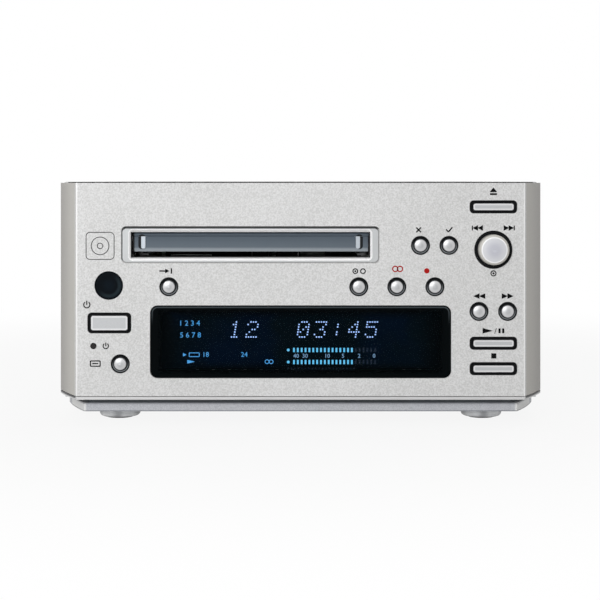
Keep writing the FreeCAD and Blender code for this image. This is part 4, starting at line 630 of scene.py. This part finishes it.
def core_laminations():
    """Transformer core: stacked laminations under varnish."""
    finish = Finish("core_laminations", metal=0.6)
    gap = (finish.axes()[1] % 0.5) < 0.11
    varnish = finish.noise(5.0, 4.0)
    steel = finish.mix(varnish, (84, 84, 86), (118, 116, 112))
    return finish.coat(
        finish.mix(gap * 0.7, steel, (40, 38, 38)), 0.36 + varnish * 0.2, 1 - gap, 0.06, 0.6)


def winding_tape():
    """Transformer winding: amber tape wound over the copper."""
    finish = Finish("winding_tape")
    z = finish.axes()[2]
    lap = (z % 6.0) < 0.35
    fold = finish.noise(2.2, 4.0, (1, 1, 3))
    tape = finish.mix(fold, (184, 134, 44), (214, 168, 72))
    return finish.coat(
        finish.mix(lap * 0.6, tape, (120, 78, 24)), 0.28 + fold * 0.2, fold - lap * 0.5, 0.08, 0.5)


# ------------------------ finishes of the mechanism


def cast_sled():
    """Pickup sled: die-cast body, with the blue-coated lens on its top."""
    finish = Finish("cast_sled")
    z = finish.axes()[2]
    grain = finish.noise(0.6, 4.0)
    lens = (finish.radius(LENS, "z") < 2.1) * (z > 45.0) * (z < 60.0)
    cast = finish.mix(grain, (138, 140, 142), (172, 173, 174))
    finish.give("Metallic", 0.6 - lens * 0.5)
    return finish.coat(
        finish.mix(lens, cast, (48, 62, 124)),
        0.48 - lens * 0.4 + grain * 0.08, grain * (1 - lens), 0.03, 0.6)


def acetal_gear():
    """Gears and the cam slider: ivory acetal with faint mould flow."""
    return grained(
        "acetal_gear", 0.0, 0.5, (4.0, 4.0), (218, 213, 200), (236, 232, 222),
        (0.34, 0.12), 0.02, 0.4, {"Subsurface Weight": 0.08})


def drawn_steel(name, stretch):
    """Motor cans and rods: bright steel drawn or ground along the stretched axis."""
    tones = (168, 169, 171), (212, 212, 213)
    return grained(name, 0.9, 0.5, (0.3, 3.0, stretch), *tones, (0.2, 0.16), 0.01)


def turned_brass(name, centre, axis):
    """Turned brass, slightly tarnished."""
    finish = Finish(name, metal=0.95)
    _, turned = finish.rings(centre, axis, 0.25)
    tarnish = finish.noise(2.5, 4.0)
    shade = turned * 0.5 + tarnish * 0.5
    return finish.coat(
        finish.mix(shade, (166, 134, 72), (214, 186, 118)),
        0.24 + tarnish * 0.2, turned, 0.012, 0.6)


def dress(node, material):
    for slot in nodes[node].material_slots:
        slot.material = material


def dress_nodes():
    """Every solid of the deck gets its finish."""
    panel = satin_panel()
    black = black_moulding()
    steel = zinc_sheet("deck_steel", (180, 182, 184), (204, 205, 206), 4.5)
    pan = zinc_sheet("zinc_pan", (164, 167, 169), (194, 196, 197), 3.5)
    screws = grained(
        "screw_plating", 0.85, 0.5, (0.4, 3.0),
        (150, 150, 152), (204, 204, 206), (0.28, 0.16), 0.01)
    shells = grained(
        "jack_shell", 0.95, 0.5, (0.3, 2.0, TURNED_Y),
        (196, 194, 188), (228, 226, 220), (0.2, 0.12), 0.01)
    gear = acetal_gear()
    for keys, flat in ((KEYS, False), (FLAT_KEYS, True)):
        for key, centre in keys.items():
            dress(key, plated_cap(key, centre, flat))
    finishes = {
        "front_panel": panel,
        "lower_trim": brushed_trim(),
        "slot_bezel": bright_bezel(),
        "slot_door": brushed_flap(),
        "front_frame": black,
        "jog_encoder": black,
        "jog_plunger": black,
        "key_switches": black,
        "display_window": smoked_window(),
        "display_tube": display_glass(),
        "sensor_window": round_sensor_window(),
        "standby_lamp": clear_lamp(),
        "jog_knob": turned_knob(),
        "top_cover": painted_cover(),
        "base_plate": plinth_paint(),
        "feet": foot_moulding(),
        "foot_pads": dark_rubber("pad_rubber", (30, 30, 31), (52, 52, 52)),
        "rubber_mounts": dark_rubber("mount_rubber", (36, 34, 34), (60, 57, 55)),
        "chassis_pan": pan,
        "mechanism_brackets": pan,
        "rear_panel": rear_paint(),
        "case_screws": screws,
        "jack_block": jack_moulding(),
        "jack_shells": shells,
        "optical_ports": optical_moulding(),
        "remote_jacks": black,
        "power_inlet": black,
        "transformer_core": core_laminations(),
        "transformer_winding": winding_tape(),
        "main_board": board_laminate("signal_board", 0, 1),
        "power_board": board_laminate("supply_board", 0, 1),
        "front_board": board_laminate("key_board", 0, 2),
        "board_chips": chip_package(),
        "capacitors": can_sleeve(),
        "mechanism_deck": steel,
        "cartridge_holder": steel,
        "head_arm": steel,
        "loading_slider": gear,
        "loading_gear": gear,
        "motor_pinion": turned_brass("pinion_brass", PINION, "x"),
        "turntable": turned_brass("turntable_brass", HUB, "z"),
        "loading_motor": drawn_steel("loading_motor_can", ALONG_X),
        "sled_motor": drawn_steel("sled_motor_can", ALONG_X),
        "guide_rods": drawn_steel("ground_rod", ALONG_X),
        "lead_screw": drawn_steel("screw_rod", ALONG_X),
        "spindle_motor": drawn_steel("spindle_motor_can", ALONG_Z),
        "pickup_sled": cast_sled(),
    }
    for node, material in finishes.items():
        dress(node, material)


# ------------------------ printed marks


def nothing_selected():
    bpy.ops.object.select_all(action="DESELECT")


def select_only(objects):
    """Selects the objects and makes the first one active."""
    nothing_selected()
    for chosen in objects:
        chosen.select_set(True)
    bpy.context.view_layer.objects.active = objects[0]


def fresh(operator, **settings):
    """Adds an object with nothing else selected."""
    nothing_selected()
    operator(**settings)
    return bpy.context.object


def apply_place(turn=True, size=True):
    """Applies the place of what is selected, and its turn and size."""
    bpy.ops.object.transform_apply(location=True, rotation=turn, scale=size)


def modify(thing, kind, **settings):
    """Adds a modifier to a piece and applies it."""
    modifier = thing.modifiers.new("shape", kind)
    for name, value in settings.items():
        setattr(modifier, name, value)
    bpy.ops.object.modifier_apply(modifier="shape")


def hollow(*insets):
    """Insets a face in steps of thickness and depth, and deletes what is inside them."""
    bpy.ops.mesh.select_all(action="SELECT")
    for thickness, depth in insets:
        bpy.ops.mesh.inset(thickness=thickness, depth=depth)
    bpy.ops.mesh.delete(type="FACE")
    bpy.ops.object.mode_set(mode="OBJECT")


def copies_at(pattern, places):
    """Copies the pattern, each copy with its own mesh, to places and turns; the pattern goes."""
    copies = []
    for place, turn in places:
        copy = pattern.copy()
        copy.data = pattern.data.copy()
        bpy.context.collection.objects.link(copy)
        copy.location = [value * MM for value in place]
        copy.rotation_euler = turn
        copies.append(copy)
    bpy.data.objects.remove(pattern)
    return copies


def merge(copies, name, material, smooth=0):
    """Joins placed shapes into one piece on the case; smooth is an angle in degrees."""
    select_only(copies)
    apply_place()
    bpy.ops.object.join()
    piece = copies[0]
    piece.name = name
    piece.data.materials.clear()
    piece.data.materials.append(material)
    if smooth:
        bpy.ops.object.shade_smooth_by_angle(angle=math.radians(smooth))
    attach(piece, "case")
    return piece


def flat_ink(name, colour, worn):
    """Screen-printed ink, a little uneven."""
    finish = Finish(name, gloss=0.06)
    speckle = finish.noise(0.25, 3.0)
    return finish.coat(finish.mix(speckle * 0.5, colour, worn), 0.5 + speckle * 0.2)


class Printing:
    """Flat shapes gathered on one upright face, then joined and given a thin body."""

    def __init__(self, face, rear=False):
        self.face = face
        self.rear = rear
        self.shapes = []

    def keep(self, x, z, turn, scale):
        """Stands the new shape upright at (x, z), turned clockwise by turn degrees."""
        shape = bpy.context.object
        shape.scale = (scale[0] * MM, scale[1] * MM, 1.0)
        apply_place()
        shape.rotation_euler = (0, 0, math.radians(-turn))
        apply_place()
        shape.rotation_euler = (math.pi / 2, 0, math.pi if self.rear else 0)
        shape.location = (x * MM, self.face * MM, z * MM)
        apply_place()
        self.shapes.append(shape)

    def triangle(self, x, z, width, height, turn=0):
        """A triangle that points up before its turn; its box is centred on (x, z)."""
        fresh(
            bpy.ops.mesh.primitive_circle_add,
            vertices=3, radius=1, fill_type="NGON", location=(0, -0.25, 0))
        apply_place()
        self.keep(x, z, turn, (width / math.sqrt(3), height / 1.5))

    def bar(self, x, z, width, height, turn=0):
        fresh(bpy.ops.mesh.primitive_plane_add, size=1)
        self.keep(x, z, turn, (width, height))

    def spot(self, x, z, radius, corners=24):
        fresh(bpy.ops.mesh.primitive_circle_add, vertices=corners, radius=1, fill_type="NGON")
        self.keep(x, z, 0, (radius, radius))

    def ring(self, x, z, radius, width, gap=0):
        """A ring; gap leaves that many of its 32 parts open at the top."""
        fresh(
            bpy.ops.mesh.primitive_circle_add,
            vertices=32, radius=1, fill_type="NGON", enter_editmode=True)
        hollow((width / radius, 0))
        if gap:
            self.drop_faces(lambda c: abs(math.atan2(c.x, c.y)) < math.pi * gap / 32)
        self.keep(x, z, 0, (radius, radius))

    def rounded_frame(self, x, z, width, height, corner, line):
        """An outline with round corners."""
        fresh(bpy.ops.mesh.primitive_plane_add, size=1, enter_editmode=True)
        bpy.ops.transform.resize(value=(width, height, 1))
        bpy.ops.mesh.bevel(offset=corner, segments=6, affect="VERTICES")
        hollow((line, 0))
        self.keep(x, z, 0, (1, 1))

    def drop_faces(self, test):
        """Deletes the faces whose centre passes the test."""
        shape = bpy.context.object
        for face in shape.data.polygons:
            face.select = test(face.center)
        bpy.ops.object.mode_set(mode="EDIT")
        bpy.ops.mesh.select_mode(type="FACE")
        bpy.ops.mesh.delete(type="FACE")
        bpy.ops.object.mode_set(mode="OBJECT")

    def number(self, text, x, z, height):
        written = fresh(bpy.ops.object.text_add)
        written.data.body = text
        written.data.align_x = "CENTER"
        written.data.align_y = "CENTER"
        written.data.size = 1.4
        written.data.resolution_u = 2
        bpy.ops.object.convert(target="MESH")
        self.keep(x, z, 0, (height, height))

    def join(self, name, material):
        """Joins the shapes into one thin piece on the case."""
        piece = merge(self.shapes, name, material)
        modify(piece, "SOLIDIFY", thickness=INK_DEPTH, offset=1.0)


def print_transport_marks(ink):
    """Marks above the keys that move the disc."""
    ink.triangle(60.3, 73.85, 2.35, 1.5)
    ink.bar(60.3, 72.5, 2.2, 0.56)
    for side, x, line in ((-1, 55.4, 53.7), (1, 65.1, 66.8)):
        for step in (-0.75, 0.8):
            ink.triangle(x + side * step, 61.9, 1.75, 1.7, side * 90)
        ink.bar(line, 61.9, 0.36, 1.5)
    for side, x in ((-1, 55.85), (1, 64.75)):
        for step in (-0.9, 0.9):
            ink.triangle(x + side * step, 40.6, 1.75, 1.95, side * 90)
    ink.triangle(58.5, 29.75, 1.75, 3.2, 90)
    ink.bar(60.95, 29.7, 0.2, 1.8, 18)
    for x in (62.2, 63.35):
        ink.bar(x, 29.75, 0.66, 1.5)
    ink.bar(60.4, 21.9, 1.6, 1.6)


def print_setting_marks(ink):
    """Plain pictograms beside the other keys."""
    for x, z, radius, line, stem, low in (
        (-66.85, 37.9, 1.15, 0.36, 1.3, 0.6),
        (-60.9, 25.0, 1.0, 0.34, 1.1, 0.5),
    ):
        ink.ring(x, z, radius, line, gap=6)
        ink.bar(x, z + low, line, stem)
    ink.triangle(-41.7, 48.45, 1.5, 1.3, 90)
    ink.bar(-43.2, 48.45, 1.9, 0.42)
    ink.bar(-40.4, 48.45, 0.42, 1.7)
    for x, z, length, turn in (
        (36.9, 61.3, 2.1, 45), (36.9, 61.3, 2.1, -45),
        (45.85, 61.05, 1.1, 45), (46.85, 61.4, 1.9, -50),
    ):
        ink.bar(x, z, length, 0.42, turn)
    ink.ring(17.1, 48.4, 0.9, 0.34)
    ink.spot(17.1, 48.4, 0.3)
    ink.ring(19.5, 48.4, 0.9, 0.34)
    ink.rounded_frame(-64.2, 19.5, 3.4, 2.0, 0.4, 0.36)
    ink.bar(-64.2, 19.5, 1.8, 0.4)
    ink.ring(60.3, 47.7, 0.95, 0.34)
    ink.spot(60.3, 47.7, 0.34)


def make_key_marks():
    ink = Printing(PANEL_FACE)
    print_transport_marks(ink)
    print_setting_marks(ink)
    ink.join("key_marks", flat_ink("dark_ink", (4, 4, 5), (16, 16, 18)))


def make_record_marks():
    """Marks of the two recording keys."""
    ink = Printing(PANEL_FACE)
    ink.spot(39.45, 48.5, 0.85)
    for x in (29.6, 31.1):
        ink.ring(x, 49.1, 1.0, 0.36)
    ink.join("record_marks", flat_ink("red_ink", (186, 34, 30), (150, 30, 28)))


def make_disc_badge():
    """Outline beside the slot, with a plain disc in it."""
    ink = Printing(PANEL_FACE)
    ink.rounded_frame(-62.7, 56.3, 9.0, 8.7, 1.3, 0.24)
    for radius in (2.9, 1.0):
        ink.ring(-62.7, 56.3, radius, 0.26)
    ink.join("disc_badge", flat_ink("grey_ink", (64, 64, 66), (88, 88, 90)))


def make_rear_marks():
    """Numbers and an arrow beside the rear connectors."""
    ink = Printing(REAR_FACE, rear=True)
    for number, x in enumerate((32.0, 18.0, -6.0, -20.0, 49.0, 63.0), 1):
        ink.number(str(number), x, 55.6 if number < 3 else 47.6, 1.9)
    ink.triangle(25.0, 55.6, 1.5, 1.5, 180)
    ink.join("rear_marks", flat_ink("pale_ink", (206, 206, 204), (170, 170, 168)))


# ------------------------ rings round the keys


def ring_plastic():
    """Black rings round the keys, with a painted highlight along the low half of the dish."""
    finish = Finish("ring_plastic", gloss=0.12)
    grain = finish.noise(0.2, 3.0)
    out, up = (
        finish.node("ShaderNodeAttribute", {"attribute_name": name}, output=2)
        for name in ("ring_out", "ring_up"))
    # painted highlight: paler along the lower half of the dish
    groove_highlight = finish.ramp(abs(out - 2.42), 0.24, 0.06) * finish.ramp(up, 0.6, -0.6)
    body = finish.mix(grain, (14, 15, 17), (28, 30, 32))
    return finish.coat(
        finish.mix(groove_highlight * 0.9, body, (146, 150, 153)), 0.42 + grain * 0.14, grain, 0.01, 0.6)


def note_ring_places(ring):
    """Keeps each point's radius in millimetres, and how far up the ring it is, with the mesh."""
    out = ring.data.attributes.new("ring_out", "FLOAT", "POINT")
    up = ring.data.attributes.new("ring_up", "FLOAT", "POINT")
    for vertex in ring.data.vertices:
        radius = vertex.co.xy.length
        out.data[vertex.index].value = radius / MM
        up.data[vertex.index].value = vertex.co.y / radius


def make_key_rings():
    """Dished rings that lead in to the nine round keys."""
    pattern = fresh(
        bpy.ops.mesh.primitive_circle_add,
        vertices=48, radius=2.95 * MM, fill_type="NGON", enter_editmode=True)
    # flat rim, two slopes down into the dish, flat floor
    steps = (0.16, 0), (0.24, -0.3), (0.24, -0.12), (0.26, 0)
    hollow(*((width * MM, depth * MM) for width, depth in steps))
    modify(pattern, "SOLIDIFY", thickness=0.12 * MM, offset=-1.0)
    note_ring_places(pattern)
    places = [((x, RING_FACE, z), UPRIGHT) for x, z in KEYS.values()]
    merge(copies_at(pattern, places), "key_rings", ring_plastic(), 25)


# ------------------------ lit display

DOTS = {
    "0": ("01110", "10001", "10011", "10101", "11001", "10001", "01110"),
    "1": ("00100", "01100", "00100", "00100", "00100", "00100", "01110"),
    "2": ("01110", "10001", "00001", "00110", "01000", "10000", "11111"),
    "3": ("11111", "00001", "00010", "00110", "00001", "10001", "01110"),
    "4": ("00010", "00110", "01010", "10010", "11111", "00010", "00010"),
    "5": ("11111", "10000", "11110", "00001", "00001", "10001", "01110"),
    ":": ("00000", "00100", "00100", "00000", "00100", "00100", "00000"),
    " ": ("00000",) * 7,
}


def lit_phosphor(name, colour, strength):
    """Glowing phosphor, brighter in the middle of each patch."""
    finish = Finish(name, gloss=0.0, others={"Emission Strength": strength, "Roughness": 0.6})
    grain = finish.noise(0.2, 2.0)
    finish.give("Base Color", finish.mix(grain, (4, 8, 14), (8, 12, 20)))
    core = (*(0.6 * shade + 0.4 for shade in tone(*colour)[:3]), 1.0)
    finish.give("Emission Color", finish.mix(finish.ramp(grain, 0.45, 0.75) * 0.3, colour, core))
    return finish.material


def make_characters():
    """Nine cells of leaning dot characters: a track number and a time."""
    ink = Printing(TUBE_FACE)
    left, top, cell_step, dot_step, row_step, lean = -22.6, 32.05, 5.37, 0.78, 0.79, 0.13
    for cell, character in enumerate("12  03:45"):
        for row, line in enumerate(DOTS[character]):
            for column, lit in enumerate(line):
                if lit == "1":
                    x = left + cell * cell_step + column * dot_step + (6 - row) * lean
                    ink.bar(x, top - row * row_step, 0.4, 0.4)
    ink.join("display_characters", lit_phosphor("pale_phosphor", (134, 166, 222), 5.4))


def make_level_meter():
    """Two rows of level segments over a number scale."""
    lit, dim, scale = (Printing(TUBE_FACE) for _ in range(3))
    for step in range(22):
        row, height = (lit, 1.35) if step < 16 else (dim, 1.3)
        for z in METER_ROWS:
            row.bar(-2.1 + step * 1.22, z, 0.56, height)
    for z in METER_ROWS:
        lit.spot(-3.9, z, 0.45, 12)
    for step in range(20):
        dim.bar(-4.0 + step * 1.1, 17.35, 0.4, 0.4)
    for level, x in ((40, -1.4), (30, 1.4), (10, 8.4), (5, 13.4), (2, 18.5), (0, 23.2)):
        scale.number(str(level), x, 21.3, 1.3)
    lit.join("level_segments", lit_phosphor("cyan_phosphor", (66, 150, 190), 4.6))
    # painted light: the unlit segments are given a faint emission
    dim.join("unlit_segments", lit_phosphor("dim_phosphor", (20, 40, 62), 1.3))
    scale.join("scale_numbers", lit_phosphor("blue_phosphor", (96, 132, 166), 4.2))


def make_small_signs():
    """Small blue signs at the left of the display."""
    ink = Printing(TUBE_FACE)
    ink.number("1 2 3 4", -35.1, 31.6, 1.7)
    ink.number("5 6 7 8", -34.8, 27.85, 1.7)
    ink.triangle(-36.6, 21.7, 1.1, 1.1, 90)
    ink.rounded_frame(-33.6, 21.7, 3.4, 1.4, 0.3, 0.22)
    ink.number("18", -30.0, 21.7, 1.55)
    ink.number("24", -17.8, 21.7, 1.55)
    ink.triangle(-34.6, 19.5, 1.2, 2.4, 90)
    ink.ring(-10.6, 19.5, 0.72, 0.22)
    ink.ring(-9.3, 19.5, 0.72, 0.22)
    ink.join("small_signs", lit_phosphor("sign_phosphor", (46, 122, 178), 4.6))


# ------------------------ screws


def add_cylinder(corners, radius, length, z):
    """A cylinder along Z whose middle is at height z."""
    cylinder = fresh(
        bpy.ops.mesh.primitive_cylinder_add,
        vertices=corners, radius=radius * MM, depth=length * MM, location=(0, 0, z * MM))
    apply_place(turn=False, size=False)
    return cylinder


def make_screw_pattern():
    """One pan-head screw with a cross recess, pointing along -Z from its head."""
    head = add_cylinder(32, 2.8, HEAD_HEIGHT, HEAD_HEIGHT / 2)
    for edge in head.data.edges:
        ends = [head.data.vertices[i].co.z for i in edge.vertices]
        edge.select = min(ends) > (HEAD_HEIGHT - 0.1) * MM
    for face in head.data.polygons:
        face.select = False
    bpy.ops.object.mode_set(mode="EDIT")
    bpy.ops.mesh.select_mode(type="EDGE")
    bpy.ops.mesh.bevel(offset=0.75 * MM, segments=5, profile=0.6)
    bpy.ops.object.mode_set(mode="OBJECT")
    for across, along in ((2.9, 0.55), (0.55, 2.9)):
        cutter = fresh(bpy.ops.mesh.primitive_cube_add, size=1, location=(0, 0, HEAD_HEIGHT * MM))
        cutter.scale = (across * MM, along * MM, 1.4 * MM)
        apply_place(turn=False)
        select_only([head])
        modify(head, "BOOLEAN", operation="DIFFERENCE", object=cutter)
        bpy.data.objects.remove(cutter)
    select_only([head, add_cylinder(20, 1.4, 5.0, -2.5)])
    bpy.ops.object.join()
    return head


def make_screws(material):
    """Seven case screws: two on each side and three at the rear."""
    places = []
    for side in (-1, 1):
        places += [((side * 77.2, y, 18.8), (0, side * math.pi / 2, 0)) for y in (-57.83, 76.27)]
    places += [((x, 117.5, 71.3), (-math.pi / 2, 0, 0)) for x in (-66.39, 0.0, 66.39)]
    screws = merge(copies_at(make_screw_pattern(), places), "cross_screws", material, 35)
    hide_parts("case_screws")


# ------------------------ small pieces inside

# chip's middle, its half sizes, legs in a row, their pitch, and the axes that they point along
CHIP_ROWS = (
    ((-29.1, -44.1), (10.0, 10.0), 17, 1.0, "xy"),
    ((1.65, -49.2), (7.0, 7.0), 11, 1.0, "xy"),
    ((27.48, -39.0), (7.0, 4.5), 10, 1.27, "y"),
    ((-4.5, -2.28), (9.0, 5.0), 13, 1.27, "y"),
    ((-41.4, -0.24), (6.0, 4.0), 8, 1.27, "y"),
    ((17.64, -10.44), (3.0, 5.0), 7, 1.27, "x"),
    ((44.7, -20.64), (2.6, 4.0), 5, 1.27, "x"),
)


def make_leg_row(count, pitch):
    """A row of bent legs along X that reach out along +Y and down to the board."""
    leg = fresh(bpy.ops.mesh.primitive_cube_add, size=1)
    leg.scale = (0.4 * MM, 0.5 * MM, 0.16 * MM)
    leg.location = (-(count - 1) * pitch / 2 * MM, 0.2 * MM, 1.0 * MM)
    apply_place()
    for face in leg.data.polygons:
        face.select = face.normal.y > 0.9
    bpy.ops.object.mode_set(mode="EDIT")
    bpy.ops.mesh.select_mode(type="FACE")
    for step in ((0, 0.3 * MM, -0.86 * MM), (0, 0.6 * MM, 0)):
        bpy.ops.mesh.extrude_region_move(TRANSFORM_OT_translate={"value": step})
    bpy.ops.object.mode_set(mode="OBJECT")
    modify(
        leg, "ARRAY", count=count, use_relative_offset=False, use_constant_offset=True,
        constant_offset_displace=(pitch * MM, 0, 0))
    return leg


def make_chip_legs():
    """Legs along the sides of the seven chips."""
    copies = []
    for (x, y), (half_x, half_y), count, pitch, axes in CHIP_ROWS:
        places = []
        for quarter, (axis, reach) in enumerate((("y", half_y), ("x", half_x)) * 2):
            turn = quarter * math.pi / 2
            if axis in axes:
                place = (x - math.sin(turn) * reach, y + math.cos(turn) * reach, BOARD_TOP)
                places.append((place, (0, 0, turn)))
        copies += copies_at(make_leg_row(count, pitch), places)
    tones = (170, 171, 172), (214, 214, 212)
    solder = grained("tinned_leads", 0.85, 0.5, (0.6, 3.0), *tones, (0.32, 0.2), 0.01)
    merge(copies, "chip_legs", solder)


def make_port_gaskets():
    """Foam gaskets round the optical ports, on the inside of the rear sheet."""
    gaskets = []
    for x in PORT_X:
        gasket = fresh(bpy.ops.mesh.primitive_plane_add, size=GASKET * MM, enter_editmode=True)
        hollow((GASKET_WIDTH * MM, 0))
        modify(gasket, "SOLIDIFY", thickness=0.9 * MM, offset=1.0)
        modify(gasket, "BEVEL", width=0.12 * MM, segments=2)
        gasket.rotation_euler = UPRIGHT
        gasket.location = (x * MM, 115.42 * MM, CONNECTOR_Z * MM)
        gaskets.append(gasket)
    merge(gaskets, "port_gaskets", dark_rubber("gasket_foam", (22, 22, 23), (40, 40, 41)), 30)


# ------------------------ studio


def set_camera():
    camera = fresh(bpy.ops.object.camera_add, location=(0.0, -0.566, 0.0769), rotation=UPRIGHT)
    camera.data.lens = 85.2
    camera.data.sensor_width = 36
    camera.data.shift_x = -0.001
    camera.data.shift_y = -0.2
    camera.data.clip_start = 0.02
    camera.data.clip_end = 30
    bpy.context.scene.camera = camera


def set_lamp(name, place, size, power):
    """A soft square lamp that faces the deck."""
    lamp = fresh(bpy.ops.object.light_add, type="AREA", location=place)
    lamp.name = name
    lamp.data.size = size
    lamp.data.energy = power
    lamp.rotation_euler = (Vector((0, 0, 0.04)) - Vector(place)).to_track_quat("-Z", "Y").to_euler()


def set_world():
    """White where it is seen or mirrored, a plain grey level as light."""
    world = bpy.data.worlds.new("studio")
    bpy.context.scene.world = world
    world.use_nodes = True
    world.node_tree.nodes.clear()
    tree = Tree(world.node_tree)
    seen = tree.math_max(tree.seen(), tree.node("ShaderNodeLightPath", output=6))
    ambient, white = (
        tree.node("ShaderNodeBackground", None, {0: (1, 1, 1, 1), 1: level})
        for level in (0.24, 1.0))
    mixed = tree.node("ShaderNodeMixShader", None, {0: seen, 1: ambient, 2: white})
    tree.node("ShaderNodeOutputWorld", None, {0: mixed})


def make_floor():
    """Pale floor that takes the shadow near the deck and runs out to white."""
    floor = fresh(bpy.ops.mesh.primitive_plane_add, size=12)
    floor.name = "floor"
    finish = Finish("pale_floor", gloss=0.0, others={"Roughness": 0.9})
    x, y, _ = finish.axes()
    grain = finish.noise(3.0, 3.0)
    finish.give("Base Color", finish.mix(grain, (0.52, 0.52, 0.52, 1), (0.56, 0.56, 0.56, 1)))
    far = finish.ramp(finish.length(x, y), 130.0, 320.0)
    white = finish.node("ShaderNodeEmission", None, {0: (1, 1, 1, 1), 1: 1.0})
    seen = finish.seen() * (0.9 + far * 0.1)
    surface = Wire(finish, finish.surface.outputs[0])
    mixed = finish.node("ShaderNodeMixShader", None, {0: seen, 1: surface, 2: white})
    finish.feed(finish.nodes.nodes["Material Output"].inputs["Surface"], mixed)
    floor.data.materials.append(finish.material)


def set_studio():
    set_world()
    make_floor()
    set_lamp("key_lamp", (-0.55, -1.45, 0.6), 1.0, 14.9)
    set_lamp("top_lamp", (0.0, 0.2, 1.5), 0.9, 7.0)
    for side, name in ((-1, "left_rear_lamp"), (1, "right_rear_lamp")):
        set_lamp(name, (side * 0.9, 1.5, 0.7), 0.9, 10.0)
    bpy.context.scene.view_settings.view_transform = "Standard"


set_camera()
dress_nodes()
make_key_marks()
make_record_marks()
make_disc_badge()
make_rear_marks()
make_key_rings()
make_characters()
make_level_meter()
make_small_signs()
make_screws(nodes["case_screws"].material_slots[0].material)
make_chip_legs()
make_port_gaskets()
set_studio()
